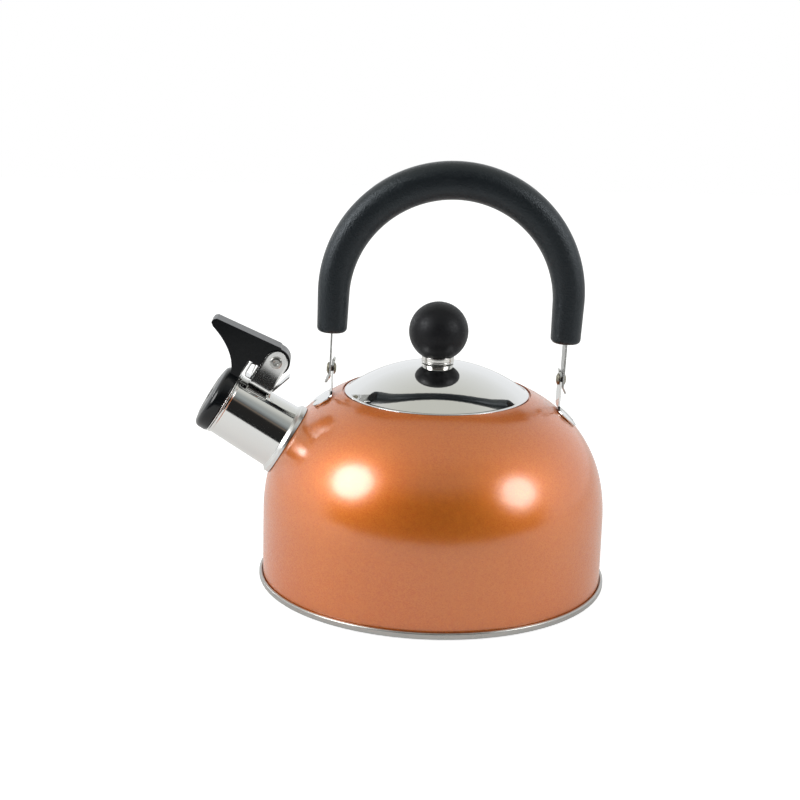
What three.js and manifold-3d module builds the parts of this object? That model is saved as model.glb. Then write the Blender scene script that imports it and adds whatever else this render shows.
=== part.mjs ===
// Stovetop whistling kettle, about two litres, in millimetres with +Z up.
// The origin is the centre of the base's underside, the spout points to -X and the handle swings about
// a line along X. Every piece is a named mesh; pieces that seat on each other keep the gap FIT.
import * as THREE from "three";
import { mergeVertices } from "three/addons/utils/BufferGeometryUtils.js";
import Module from "manifold-3d";

const wasm = await Module();
wasm.setup();

// Gaps and stock
const FIT = 0.3; // between pieces that touch
const SHEET = 0.6; // steel sheet of the shell, lid and skirt
const CUT = 60; // length of a tool that cuts right through a small piece
const CUT_WIDE = 400; // and right through the handle
const BODY_SIDES = 48;
const SPOUT_SIDES = 40;
const SMALL_SIDES = 20;
const SHOULDER_STEPS = 12;
const FORM_STEPS = 20;
const DOME_STEPS = 7;
const BALL_STEPS = 12;

// Shell: a straight wall, then a shoulder that is a superellipse down to the mouth
const BODY_R = 88.07;
const WALL_TOP = 35.16;
const SHOULDER_H = 73.38;
const SHOULDER_POWER = 2.3;
const MOUTH_R = 48.25;
const LEDGE_DROP = 1.3; // the lid's seat lies this far below the mouth's edge
const LEDGE_W = 4.2;
const LEDGE_DRAFT = 0.2; // the wall between the mouth's edge and the seat leans in by this much
const NECK_BEND = 0.5;
const NECK_H = 5; // turned-down collar inside the mouth

// Base pan and its rolled seam
const BASE_T = 0.8;
const BASE_FLAT_INSET = 5; // from the shell's wall in to the edge of the flat underside
const BASE_SLOPE = 1.2; // the underside rises to the seam over this much radius
const SEAM_STAND = 1.93; // how far the seam stands out of the wall
const SEAM_BOTTOM = 0.5;
const SEAM_TOP = 4;
const SEAM_FLOOR = 1.6; // bottom of the groove that holds the shell's edge
const SEAM_LIP = 0.7;
const CHUCK_TOP = 6; // top of the pan's upturned inner wall
const CHUCK_T = 0.6;

// Lid
const LID_GAP = 1.1; // between the lid's rim and the mouth's edge
const LID_RISE = 15.5; // dome above the rim
const RIM_H = 1;
const RIM_W = 1.5;
const RIM_CHAMFER = 0.3;
const RIM_SHOULDER = 0.7; // from the rim's edge in to the dome's foot
const RIM_INNER_DRAFT = 0.2;
const SKIRT_DROP = 8;
const SKIRT_GAP = 0.4;
const SKIRT_TURN_IN = 0.4;

// Knob stack
const COLLAR_R = 8.3;
const COLLAR_H = 3.4;
const COLLAR_FLARE = 0.4;
const BALL_R = 15.1;
const BALL_FOOT_R = 8.8; // radius of the flat that the ball sits on
const INSERT_R = 4;
const INSERT_H = 8.6;
const SCREW_R = 2;
const SCREW_HEAD_R = 4.2;
const SCREW_HEAD_H = 2;
const SCREW_CHAMFER = 0.7;
const SCREW_REACH = 7; // how far the screw goes into the insert
const SLOT_W = 1;
const SLOT_D = 0.9;
const WASHER_R = 6.2;
const WASHER_T = 0.8;

// Spout
const SPOUT_TILT = THREE.MathUtils.degToRad(31); // above the horizontal
const SPOUT_BELOW_FOOT = 2.3; // top of the root flange below the end of the left ear's foot
const SPOUT_LEN = 37;
const SPOUT_ROOT_R = 17.45;
const SPOUT_MOUTH_R = 16.35;
const SPOUT_WALL = 0.7;
const FLANGE_R = 19.3;
const FLANGE_T = 2.1;
const BEAD = 0.55; // how far the mouth's rolled bead stands out
const BEAD_L = 1.1;
const SPOUT_SINK = 8; // the tube runs this far below its root, until the shoulder trims it
const FLANGE_CHAMFER = 0.4;
const SHELL_PORT_INSET = 1.2; // the port in the shell is this much smaller than the spout's root
const PORT_IN = 25; // the port's cut reaches this far in and out from the root
const PORT_OUT = 15;

// Whistle bracket, pin and spring, placed from the mouth of the spout
const PIVOT_BACK = 11.1; // pivot behind the mouth
const PIVOT_RISE = 16.2; // pivot above the underside of the bracket's web
const EAR_IN = 6.6; // half the gap between the bracket's ears
const EAR_T = 0.8;
const EAR_HALF = 5.9; // half the ear's length, and the radius of its round top
const PIN_R = 1.4;
const PIN_HEAD_R = 3.1;
const PIN_HEAD_T = 0.9;
const PIN_DIMPLE_R = 1.3;
const PIN_DIMPLE_D = 0.6;
const PIN_CHAMFER = 0.4;
const SPRING_T = 0.4;
const SPRING_W = 9;
const SPRING_FRONT = 10; // from the pivot forward to the spring's upright
const SPRING_UP_H = 7.6;
const SPRING_FOLD = 2.3;
const SPRING_BACK = 6.7; // from the pivot back to the spring's rear bend
const SPRING_TAIL = [11.2, -3.3]; // rear leaf: rise, and how far it leans back

// Whistle lever and cap
const LEVER_W = 12;
const LEVER_CURVE = [[-3.8, 28], [-1.2, 36.6]]; // concave front: handle and end at the tip, from the pivot
const LEVER_BLADE = [[0.4, 38], [2, 38], [3.3, 36.8], [7.5, 1.8], [6.9, 1]]; // thumb blade back to the hub
const HUB_R = 7;
const CAP_OVER = 0.45; // cap radius over the bead's
const CAP_T = 7.4;
const CAP_ROUND = 4.2;
const CAP_WALL = 2.6;
const CAP_VENT_R = 3;
const CAP_BORE_INSET = 3.8; // from the cap's rim in to its bore
const CAP_CHAMFER = 0.5;
const NECK_INSET = 3.4; // the lever's neck starts this far inside the cap's rim
const PLATE_T = 0.5;
const PLATE_HOLE_R = 1.6;
const PLATE_TAB_W = 9;
const PLATE_TAB_H = 8;
const PLATE_TAB_ROOT = 4; // length of the tab inside the disc
const CUP_R = 12;
const CUP_DEPTH = 2.5;
const CUP_CHAMFER = 0.8;

// Handle hinge: the two rivets stand on ears beside the mouth, the right one further out and lower
const EAR_OUT_LEFT = 5.85; // from the mouth's edge out to the left rivet
const EAR_OUT_RIGHT = 15.25;
const EAR_RISE_LEFT = 14.0; // rivet above the shoulder
const EAR_RISE_RIGHT = 16.9;
const HANDLE_EAR_T = 1;
const HANDLE_EAR_W = 12;
const EAR_TIP = 5.8; // ear above its rivet
const EAR_SINK = 30; // ear below its rivet, before the shoulder trims it
const BEND_START = 3.2; // the flared tips start this far from the rivet
const BEND_OUT = 1.2;
const EAR_LEAN = 0.4; // how far the hinge line's tilt leans an ear between rivet and shoulder
const FOOT_T = 1;
const FOOT_HALF = 7; // half the foot's width where it leaves the ear
const LOBE_R = 5;
const LOBE_SIDE = 4.3;
const LOBE_OUT = 4;
const RIVET_R = 1.6;
const RIVET_HEAD_R = 3;
const RIVET_HEAD_T = 1.2;
const RIVET_HEAD_ROUND = 1;
const RIVET_HEAD_EDGE = 0.4;

// Handle strap and grip
const STRAP_T = 0.9;
const STRAP_W = 12;
const STRAP_TAIL = 7.6; // strap below its rivet
const TAIL_OUT = 2.2; // how far the tail's end is bent away from the ear
const LEG_H = 39.2; // straight legs, from the hinge line to the arch's centre
const GRIP_START = 19.1; // lower ends of the grip above the hinge line
const GRIP_END_HALF = 7.6; // half thickness across the arch, at the ends
const GRIP_TOP_HALF = 9.65; // and at the top
const GRIP_DEPTH_END = 7.7; // half depth along Y
const GRIP_DEPTH_TOP = 8.6;
const GRIP_POWER = 2.3; // section shape: 2 is an ellipse
const GRIP_ROUND = 2;
const GRIP_SIDES = 16;
const GRIP_ARC_STEPS = 22;
const STRAP_ARC_STEPS = 28;
const CHANNEL_GAP = 0.35;

const finish = (color, roughness, metalness) =>
  new THREE.MeshStandardMaterial({ color, roughness, metalness });
const COPPER_PAINT = finish(0xc87d50, 0.35, 0.6);
const MIRROR_STEEL = finish(0xd9dadb, 0.08, 1);
const SATIN_STEEL = finish(0xb9bbb8, 0.35, 1);
const BLACK_GLOSS = finish(0x101114, 0.15, 0);
const BLACK_SATIN = finish(0x18191b, 0.4, 0);
const GRIP_BLACK = finish(0x23272d, 0.75, 0);
const BRASS = finish(0xb59445, 0.35, 1);

// ---- helpers -------------------------------------------------------------------------------------

// A closed geometry as a solid: shared vertices merged, collapsed triangles dropped.
function solid(geometry) {
  const bare = geometry.index ? geometry.toNonIndexed() : geometry.clone();
  bare.deleteAttribute("normal");
  bare.deleteAttribute("uv");
  const merged = mergeVertices(bare, 1e-4);
  const index = merged.index.array;
  const kept = [];
  for (let i = 0; i < index.length; i += 3) {
    const [a, b, c] = index.slice(i, i + 3);
    if (a !== b && b !== c && c !== a) kept.push(a, b, c);
  }
  const vertProperties = new Float32Array(merged.attributes.position.array);
  return new wasm.Manifold(new wasm.Mesh({ numProp: 3, vertProperties, triVerts: new Uint32Array(kept) }));
}

// A solid back as a flat-shaded geometry.
function geometryOf(body) {
  const mesh = body.getMesh();
  const geometry = new THREE.BufferGeometry();
  geometry.setAttribute("position", new THREE.BufferAttribute(mesh.vertProperties, 3));
  geometry.setIndex(new THREE.BufferAttribute(mesh.triVerts, 1));
  const flat = geometry.toNonIndexed();
  flat.computeVertexNormals();
  return flat;
}

const moved = (geometry, matrix) => geometry.clone().applyMatrix4(matrix);

function piece(name, body, material) {
  const mesh = new THREE.Mesh(geometryOf(body), material);
  mesh.name = name;
  return mesh;
}

// A profile of [radius, height] points turned about Z. It runs up the outside and down the inside.
function turned(profile, sides) {
  const points = profile.map(([r, z]) => new THREE.Vector2(r, z));
  const onAxis = profile[0][0] === 0 && profile.at(-1)[0] === 0;
  if (!onAxis) points.push(points[0].clone());
  return new THREE.LatheGeometry(points, sides).rotateX(Math.PI / 2);
}

// An outline in the XZ plane, given as [x, z] points or a Shape, made width thick and centred on Y.
function plate(outline, width) {
  const shape = Array.isArray(outline)
    ? new THREE.Shape(outline.map(([x, z]) => new THREE.Vector2(x, z)))
    : outline;
  const options = { depth: width, bevelEnabled: false, curveSegments: 10 };
  return new THREE.ExtrudeGeometry(shape, options).translate(0, 0, -width / 2).rotateX(Math.PI / 2);
}

// The closed outline of a strip: its middle line pushed half a thickness to each side, with mitred bends.
function strip(path, thickness) {
  const normals = path.slice(1).map(([x, z], i) => {
    const [dx, dz] = [x - path[i][0], z - path[i][1]];
    const length = Math.hypot(dx, dz);
    return [-dz / length, dx / length];
  });
  const side = (half) =>
    path.map(([x, z], i) => {
      const [ax, az] = normals[Math.max(i - 1, 0)];
      const [bx, bz] = normals[Math.min(i, normals.length - 1)];
      const scale = half / (1 + ax * bx + az * bz);
      return [x + (ax + bx) * scale, z + (az + bz) * scale];
    });
  return [...side(-thickness / 2), ...side(thickness / 2).reverse()];
}

// Points of an arc in the XZ plane, from one angle to another.
function arc(x, z, radius, from, to, steps) {
  return Array.from({ length: steps + 1 }, (_, i) => {
    const angle = from + ((to - from) * i) / steps;
    return [x + radius * Math.cos(angle), z + radius * Math.sin(angle)];
  });
}

// A cylinder along Y through a point of the XZ plane, long enough to cut right through.
function drill(x, z, radius) {
  const cylinder = new THREE.CylinderGeometry(radius, radius, CUT, SMALL_SIDES);
  return solid(cylinder.translate(x, 0, z));
}

// ---- shell and base ------------------------------------------------------------------------------

const shoulderRise = (share) => (1 - share ** SHOULDER_POWER) ** (1 / SHOULDER_POWER);
const shoulderZ = (r) => WALL_TOP + SHOULDER_H * shoulderRise(r / BODY_R);
const shoulderR = (z) => BODY_R * shoulderRise((z - WALL_TOP) / SHOULDER_H);

// Shoulder points from the wall's top in to a radius, on the outer surface grown by some thickness.
function shoulder(grow, toRadius, steps) {
  const [r, h] = [BODY_R + grow, SHOULDER_H + grow];
  const last = Math.acos((toRadius / r) ** (SHOULDER_POWER / 2));
  return Array.from({ length: steps + 1 }, (_, i) => {
    const angle = (last * i) / steps;
    const power = 2 / SHOULDER_POWER;
    return [r * Math.cos(angle) ** power, WALL_TOP + h * Math.sin(angle) ** power];
  });
}

// The shell's outer form, solid to the axis, grown by some thickness: it trims what sits on the shoulder.
function shellForm(grow) {
  const curve = shoulder(grow, MOUTH_R / 2, FORM_STEPS);
  const [, top] = curve.at(-1);
  return turned([[0, 0], [BODY_R + grow, 0], ...curve, [0, top]], BODY_SIDES);
}

const MOUTH_Z = shoulderZ(MOUTH_R);
const LEDGE_Z = MOUTH_Z - LEDGE_DROP;
const SEAT_R = MOUTH_R - LEDGE_DRAFT;
const NECK_R = SEAT_R - LEDGE_W; // inner radius of the turned-down collar

// A foot starts at its ear's inner face, and its lobes reach outwards along the shoulder.
const footStart = (side) =>
  MOUTH_R + (side > 0 ? EAR_OUT_RIGHT : EAR_OUT_LEFT) - FIT / 2 - HANDLE_EAR_T - side * EAR_LEAN;
const LEFT_FOOT_END = footStart(-1) + LOBE_OUT + LOBE_R;

// The spout's root: its flange clears the left foot, and its middle lies on the shoulder.
const SPOUT_Z = shoulderZ(LEFT_FOOT_END) - FLANGE_R * Math.cos(SPOUT_TILT) - SPOUT_BELOW_FOOT;
const SPOUT_X = -Math.sqrt(shoulderR(SPOUT_Z) ** 2 - FLANGE_R ** 2);

const spoutFrame = new THREE.Matrix4()
  .makeTranslation(SPOUT_X, 0, SPOUT_Z)
  .multiply(new THREE.Matrix4().makeRotationY(SPOUT_TILT - Math.PI / 2));

function bodyShell() {
  const edge = SEAM_FLOOR + FIT;
  const skin = solid(turned([
    [BODY_R, edge],
    ...shoulder(0, MOUTH_R, SHOULDER_STEPS),
    [SEAT_R, LEDGE_Z],
    [NECK_R + NECK_BEND, LEDGE_Z],
    [NECK_R, LEDGE_Z - NECK_BEND],
    [NECK_R, LEDGE_Z - NECK_H],
    [NECK_R + SHEET, LEDGE_Z - NECK_H],
    [NECK_R + SHEET, LEDGE_Z - SHEET],
    [SEAT_R + SHEET, LEDGE_Z - SHEET],
    ...shoulder(-SHEET, MOUTH_R + SHEET, SHOULDER_STEPS).reverse(),
    [BODY_R - SHEET, edge],
  ], BODY_SIDES));
  const portR = SPOUT_ROOT_R - SPOUT_WALL - SHELL_PORT_INSET;
  const port = turned([[0, -PORT_IN], [portR, -PORT_IN], [portR, PORT_OUT], [0, PORT_OUT]], SPOUT_SIDES);
  return skin.subtract(solid(moved(port, spoutFrame)));
}

function basePan() {
  const flatR = BODY_R - BASE_FLAT_INSET;
  const seamR = BODY_R + SEAM_STAND;
  const chuckR = BODY_R - SHEET - FIT;
  return solid(turned([
    [0, 0],
    [flatR, 0],
    [flatR + BASE_SLOPE, SEAM_BOTTOM],
    [seamR - SEAM_LIP, SEAM_BOTTOM],
    [seamR, SEAM_BOTTOM + SEAM_LIP],
    [seamR, SEAM_TOP - SEAM_LIP],
    [seamR - SEAM_LIP, SEAM_TOP],
    [BODY_R + FIT, SEAM_TOP],
    [BODY_R + FIT, SEAM_FLOOR],
    [chuckR, SEAM_FLOOR],
    [chuckR, CHUCK_TOP],
    [chuckR - CHUCK_T, CHUCK_TOP],
    [chuckR - CHUCK_T, SEAM_FLOOR],
    [flatR, BASE_T],
    [0, BASE_T],
  ], BODY_SIDES));
}

// ---- lid and knob --------------------------------------------------------------------------------

const RIM_R = MOUTH_R - LID_GAP;
const RIM_Z = LEDGE_Z + FIT;
const DOME_FOOT_R = RIM_R - RIM_SHOULDER;
const DOME_FOOT_Z = RIM_Z + RIM_H;
const DOME_R = (DOME_FOOT_R ** 2 + LID_RISE ** 2) / (2 * LID_RISE);
const DOME_TOP = DOME_FOOT_Z + LID_RISE;
const domeZ = (r, depth = 0) => DOME_TOP - DOME_R + Math.sqrt((DOME_R - depth) ** 2 - r ** 2);
const SCREW_HOLE_R = SCREW_R + FIT;

// Points of the lid's dome between two radii, at some depth below its outer surface.
function dome(from, to, depth, steps) {
  return Array.from({ length: steps + 1 }, (_, i) => {
    const r = from + ((to - from) * i) / steps;
    return [r, domeZ(r, depth)];
  });
}

function lidDome() {
  const rimInner = RIM_R - RIM_W;
  return solid(turned([
    [RIM_R, RIM_Z],
    [RIM_R, RIM_Z + RIM_H - RIM_CHAMFER],
    [RIM_R - RIM_CHAMFER, RIM_Z + RIM_H],
    ...dome(DOME_FOOT_R, SCREW_HOLE_R, 0, DOME_STEPS),
    ...dome(SCREW_HOLE_R, rimInner - RIM_INNER_DRAFT, SHEET, DOME_STEPS),
    [rimInner, RIM_Z + RIM_INNER_DRAFT],
    [rimInner + RIM_INNER_DRAFT, RIM_Z],
  ], BODY_SIDES));
}

function lidSkirt() {
  const outer = NECK_R - SKIRT_GAP;
  const inner = outer - SHEET;
  const bottom = RIM_Z - SKIRT_DROP;
  const top = domeZ(outer, SHEET) - FIT;
  return solid(turned([
    [outer - SKIRT_TURN_IN, bottom],
    [outer, bottom + SHEET],
    [outer, top],
    [inner, top],
    [inner - SKIRT_TURN_IN, bottom],
  ], BODY_SIDES));
}

const COLLAR_TOP = DOME_TOP + COLLAR_H;
const BALL_FOOT_Z = COLLAR_TOP + FIT;
const BALL_Z = BALL_FOOT_Z + Math.sqrt(BALL_R ** 2 - BALL_FOOT_R ** 2);
const INSERT_Z = BALL_FOOT_Z + 0.2;

function knobCollar() {
  return solid(turned([
    [COLLAR_R, domeZ(COLLAR_R) + FIT],
    [COLLAR_R - COLLAR_FLARE, DOME_TOP + COLLAR_H / 2],
    [COLLAR_R, COLLAR_TOP],
    [SCREW_HOLE_R, COLLAR_TOP],
    [SCREW_HOLE_R, domeZ(SCREW_HOLE_R) + FIT],
  ], SPOUT_SIDES));
}

function knobBall() {
  const first = -Math.acos(BALL_FOOT_R / BALL_R);
  const skin = arc(0, BALL_Z, BALL_R, first, Math.PI / 2, BALL_STEPS).slice(0, -1);
  const socketTop = INSERT_Z + INSERT_H + FIT;
  return solid(turned([
    [0, socketTop],
    [INSERT_R + FIT, socketTop],
    [INSERT_R + FIT, BALL_FOOT_Z],
    ...skin,
    [0, BALL_Z + BALL_R],
  ], SPOUT_SIDES));
}

function knobInsert() {
  const top = INSERT_Z + INSERT_H;
  return solid(turned([
    [INSERT_R, INSERT_Z],
    [INSERT_R, top],
    [SCREW_HOLE_R, top],
    [SCREW_HOLE_R, INSERT_Z],
  ], SMALL_SIDES));
}

const WASHER_TOP = domeZ(WASHER_R, SHEET) - FIT;

function knobWasher() {
  const bottom = WASHER_TOP - WASHER_T;
  return solid(turned([
    [WASHER_R, bottom],
    [WASHER_R, WASHER_TOP],
    [SCREW_HOLE_R, WASHER_TOP],
    [SCREW_HOLE_R, bottom],
  ], SMALL_SIDES));
}

function knobScrew() {
  const headTop = WASHER_TOP - WASHER_T - FIT;
  const headBottom = headTop - SCREW_HEAD_H;
  const tip = INSERT_Z + SCREW_REACH;
  const screw = solid(turned([
    [0, headBottom],
    [SCREW_HEAD_R - SCREW_CHAMFER, headBottom],
    [SCREW_HEAD_R, headBottom + SCREW_CHAMFER],
    [SCREW_HEAD_R, headTop],
    [SCREW_R, headTop],
    [SCREW_R, tip - SCREW_CHAMFER],
    [SCREW_R - SCREW_CHAMFER, tip],
    [0, tip],
  ], SMALL_SIDES));
  const slot = new THREE.BoxGeometry(3 * SCREW_HEAD_R, SLOT_W, 2 * SLOT_D).translate(0, 0, headBottom);
  return screw.subtract(solid(slot));
}

// ---- spout and whistle, in the spout's frame: Z along the spout, X up across it ---------------------

const PIVOT_Z = SPOUT_LEN - PIVOT_BACK;
const spoutR = (z) => SPOUT_ROOT_R + ((SPOUT_MOUTH_R - SPOUT_ROOT_R) * z) / SPOUT_LEN;
const BRACKET_X = spoutR(PIVOT_Z - EAR_HALF) + FIT; // underside of the bracket's web
const PIVOT_X = BRACKET_X + PIVOT_RISE;
const BEAD_R = SPOUT_MOUTH_R + BEAD;
const CAP_R = BEAD_R + CAP_OVER;
const PLATE_Z = SPOUT_LEN + FIT;
const CAP_Z = PLATE_Z + PLATE_T + FIT;
const PIN_HOLE_R = PIN_R + FIT;

function spoutTube() {
  const rootInner = SPOUT_ROOT_R - SPOUT_WALL;
  const mouthInner = SPOUT_MOUTH_R - SPOUT_WALL;
  const tube = solid(turned([
    [rootInner, -SPOUT_SINK],
    [FLANGE_R, -SPOUT_SINK],
    [FLANGE_R, FLANGE_T - 2 * FLANGE_CHAMFER],
    [FLANGE_R - FLANGE_CHAMFER, FLANGE_T - FLANGE_CHAMFER],
    [SPOUT_ROOT_R + 0.5, FLANGE_T],
    [SPOUT_ROOT_R, FLANGE_T + 0.7],
    [SPOUT_MOUTH_R, SPOUT_LEN - BEAD_L],
    [BEAD_R, SPOUT_LEN - BEAD_L * 0.7],
    [BEAD_R, SPOUT_LEN - BEAD_L * 0.25],
    [SPOUT_MOUTH_R, SPOUT_LEN],
    [mouthInner, SPOUT_LEN],
    [mouthInner, SPOUT_LEN - BEAD_L],
  ], SPOUT_SIDES));
  return tube.subtract(solid(moved(shellForm(FIT), spoutFrame.clone().invert())));
}

// A pressed U: a web along the top of the spout and two ears with round tops that carry the pin.
function whistleBracket() {
  const outer = EAR_IN + EAR_T;
  const bottom = PIVOT_Z - EAR_HALF;
  const ears = [[BRACKET_X, bottom], [BRACKET_X, bottom + 2 * EAR_HALF],
    ...arc(PIVOT_X, PIVOT_Z, EAR_HALF, Math.PI / 2, -Math.PI / 2, 12)];
  const block = solid(plate(ears, 2 * outer));
  const web = BRACKET_X + EAR_T;
  const hollow = new THREE.BoxGeometry(CUT, 2 * EAR_IN, CUT).translate(web + CUT / 2, 0, PIVOT_Z);
  return block.subtract(solid(hollow)).subtract(drill(PIVOT_X, PIVOT_Z, PIN_HOLE_R));
}

// One bent leaf: a rear leaf that leans back, a run along the web, and an upright folded over at its top.
function leafSpring() {
  const run = BRACKET_X + EAR_T + FIT + SPRING_T / 2;
  const [rise, lean] = SPRING_TAIL;
  const front = PIVOT_Z + SPRING_FRONT;
  const fold = SPRING_FOLD / 2;
  const path = [
    [run + rise, PIVOT_Z - SPRING_BACK + lean],
    [run + 0.5, PIVOT_Z - SPRING_BACK - 0.2],
    [run, PIVOT_Z - SPRING_BACK + 0.4],
    [run, front - 0.6],
    [run + 0.6, front],
    ...arc(run + SPRING_UP_H - fold, front - fold, fold, Math.PI / 2, -Math.PI / 2, 6),
    [run + 2.4, front - SPRING_FOLD - 0.5],
  ];
  return solid(plate(strip(path, SPRING_T), SPRING_W));
}

function whistlePin() {
  const shank = EAR_IN + EAR_T + FIT;
  const end = shank + PIN_HEAD_T;
  const half = [
    [PIN_R, shank],
    [PIN_HEAD_R, shank],
    [PIN_HEAD_R, end - PIN_CHAMFER],
    [PIN_HEAD_R - PIN_CHAMFER, end],
    [PIN_DIMPLE_R, end],
    [PIN_DIMPLE_R - 0.2, end - PIN_DIMPLE_D],
    [0, end - PIN_DIMPLE_D],
  ];
  const mirrored = half.map(([r, z]) => [r, -z]).reverse();
  const upright = turned([...mirrored, ...half], SMALL_SIDES);
  return solid(upright.rotateX(Math.PI / 2).translate(PIVOT_X, 0, PIVOT_Z));
}

// The lever's outline: a hub round the pin, a thumb blade, and a neck that runs down into the cap.
function leverOutline() {
  const neckBack = CAP_Z - PIVOT_Z;
  const neckFoot = CAP_R - NECK_INSET - PIVOT_X;
  const shape = new THREE.Shape();
  const at = (x, z) => [PIVOT_X + x, PIVOT_Z + z];
  shape.moveTo(...at(neckFoot, neckBack));
  shape.lineTo(...at(neckFoot, neckBack + 4));
  shape.lineTo(...at(CAP_R - 1.2 - PIVOT_X, neckBack + 4.3));
  shape.bezierCurveTo(...at(-9, neckBack + 7.2), ...LEVER_CURVE.flatMap(([x, z]) => at(x, z)));
  for (const [x, z] of LEVER_BLADE) shape.lineTo(...at(x, z));
  shape.lineTo(...at(HUB_R, 0));
  shape.absarc(PIVOT_X, PIVOT_Z, HUB_R, 0, -Math.PI, true);
  shape.lineTo(...at(0.4 - HUB_R, 5));
  shape.lineTo(...at(0.4 - HUB_R, neckBack));
  return shape;
}

// The black moulding: lever and cap in one, the cap hollow towards the spout with a vent in its face.
function whistleLever() {
  const lever = solid(plate(leverOutline(), LEVER_W));
  const top = CAP_Z + CAP_T;
  const inner = CAP_R - CAP_BORE_INSET;
  const cap = solid(turned([
    [inner, CAP_Z],
    [CAP_R - CAP_CHAMFER, CAP_Z],
    [CAP_R, CAP_Z + CAP_CHAMFER],
    ...arc(CAP_R - CAP_ROUND, top - CAP_ROUND, CAP_ROUND, 0, Math.PI / 2, 6),
    [CAP_VENT_R, top - CAP_CHAMFER],
    [CAP_VENT_R, top - CAP_WALL],
    [inner, top - CAP_WALL],
  ], SPOUT_SIDES));
  return lever.add(cap).subtract(drill(PIVOT_X, PIVOT_Z, PIN_HOLE_R));
}

// The bright sounding plate behind the cap, with a tab up the back of the lever's neck.
function whistlePlate() {
  const rim = CAP_R - FIT;
  const front = PLATE_Z + PLATE_T;
  const disc = solid(turned([
    [PLATE_HOLE_R, PLATE_Z],
    [rim, PLATE_Z],
    [rim, front],
    [PLATE_HOLE_R, front],
  ], SPOUT_SIDES));
  const length = PLATE_TAB_H + PLATE_TAB_ROOT;
  const tab = new THREE.BoxGeometry(length, PLATE_TAB_W, PLATE_T)
    .translate(CAP_R - PLATE_TAB_ROOT + length / 2, 0, PLATE_Z + PLATE_T / 2);
  return disc.add(solid(tab));
}

// The second sounding disc: a shallow cup that stands inside the spout's mouth.
function whistleCup() {
  const rim = PLATE_Z - FIT;
  const floor = rim - CUP_DEPTH;
  const inner = CUP_R - PLATE_T;
  return solid(turned([
    [PLATE_HOLE_R, floor],
    [CUP_R - CUP_CHAMFER, floor],
    [CUP_R, floor + CUP_CHAMFER],
    [CUP_R, rim],
    [inner, rim],
    [inner, floor + PLATE_T + CUP_CHAMFER / 2],
    [inner - CUP_CHAMFER / 2, floor + PLATE_T],
    [PLATE_HOLE_R, floor + PLATE_T],
  ], SPOUT_SIDES));
}

// ---- handle, in the hinge's frame: X along the hinge line, Z up the handle --------------------------

const LEFT_X = -(MOUTH_R + EAR_OUT_LEFT);
const RIGHT_X = MOUTH_R + EAR_OUT_RIGHT;
const LEFT_Z = shoulderZ(-LEFT_X) + EAR_RISE_LEFT;
const RIGHT_Z = shoulderZ(RIGHT_X) + EAR_RISE_RIGHT;
const HINGE_TILT = Math.atan2(LEFT_Z - RIGHT_Z, RIGHT_X - LEFT_X);
const HINGE_HALF = Math.hypot(RIGHT_X - LEFT_X, RIGHT_Z - LEFT_Z) / 2;
const EAR_X = HINGE_HALF - (FIT + HANDLE_EAR_T) / 2; // middle of the ear's sheet
const STRAP_X = HINGE_HALF + (FIT + STRAP_T) / 2; // middle of the strap's sheet

const hingeFrame = new THREE.Matrix4()
  .makeTranslation((LEFT_X + RIGHT_X) / 2, 0, (LEFT_Z + RIGHT_Z) / 2)
  .multiply(new THREE.Matrix4().makeRotationY(HINGE_TILT));

// A drill along the whole hinge line.
function rivetHole() {
  const radius = RIVET_R + FIT;
  return solid(new THREE.CylinderGeometry(radius, radius, CUT_WIDE, SMALL_SIDES).rotateZ(Math.PI / 2));
}

// What a strip's end keeps when it is cut round: everything above the rivet and a half disc below.
function roundEnd(radius, drop, up, sign) {
  const shape = new THREE.Shape();
  shape.moveTo(-radius, up);
  shape.lineTo(-radius, -drop);
  shape.absarc(0, -drop, radius, Math.PI, 2 * Math.PI, false);
  shape.lineTo(radius, up);
  const block = new THREE.ExtrudeGeometry(shape, { depth: CUT_WIDE, bevelEnabled: false, curveSegments: 8 })
    .translate(0, 0, -CUT_WIDE / 2)
    .rotateX(Math.PI / 2)
    .rotateZ(Math.PI / 2);
  return solid(sign > 0 ? block : block.rotateX(Math.PI));
}

// One ear: an upright with a rivet hole and a tip that leans in, on a two-lobed foot along the shoulder.
function handleEar(side) {
  const path = [[EAR_X, -EAR_SINK], [EAR_X, BEND_START], [EAR_X - BEND_OUT, EAR_TIP + 0.2]];
  const flat = solid(plate(strip(path, HANDLE_EAR_T), HANDLE_EAR_W));
  const round = roundEnd(HANDLE_EAR_W / 2, EAR_TIP - HANDLE_EAR_W / 2, EAR_SINK, -1);
  const upright = flat.intersect(round).subtract(rivetHole());
  const flip = new THREE.Matrix4().makeRotationZ(side > 0 ? 0 : Math.PI);
  const placed = solid(moved(geometryOf(upright), hingeFrame.clone().multiply(flip)));

  const cusp = Math.asin(LOBE_SIDE / LOBE_R);
  const plan = new THREE.Shape();
  plan.moveTo(0, -FOOT_HALF);
  plan.absarc(LOBE_OUT, -LOBE_SIDE, LOBE_R, -Math.PI / 2, cusp, false);
  plan.absarc(LOBE_OUT, LOBE_SIDE, LOBE_R, -cusp, Math.PI / 2, false);
  plan.lineTo(0, FOOT_HALF);
  const prism = new THREE.ExtrudeGeometry(plan, { depth: CUT_WIDE, bevelEnabled: false, curveSegments: 8 })
    .translate(footStart(side), 0, WALL_TOP)
    .applyMatrix4(flip);
  const form = solid(shellForm(FIT));
  const foot = solid(shellForm(FIT + FOOT_T)).subtract(form).intersect(solid(prism));
  return placed.subtract(form).add(foot);
}

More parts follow.
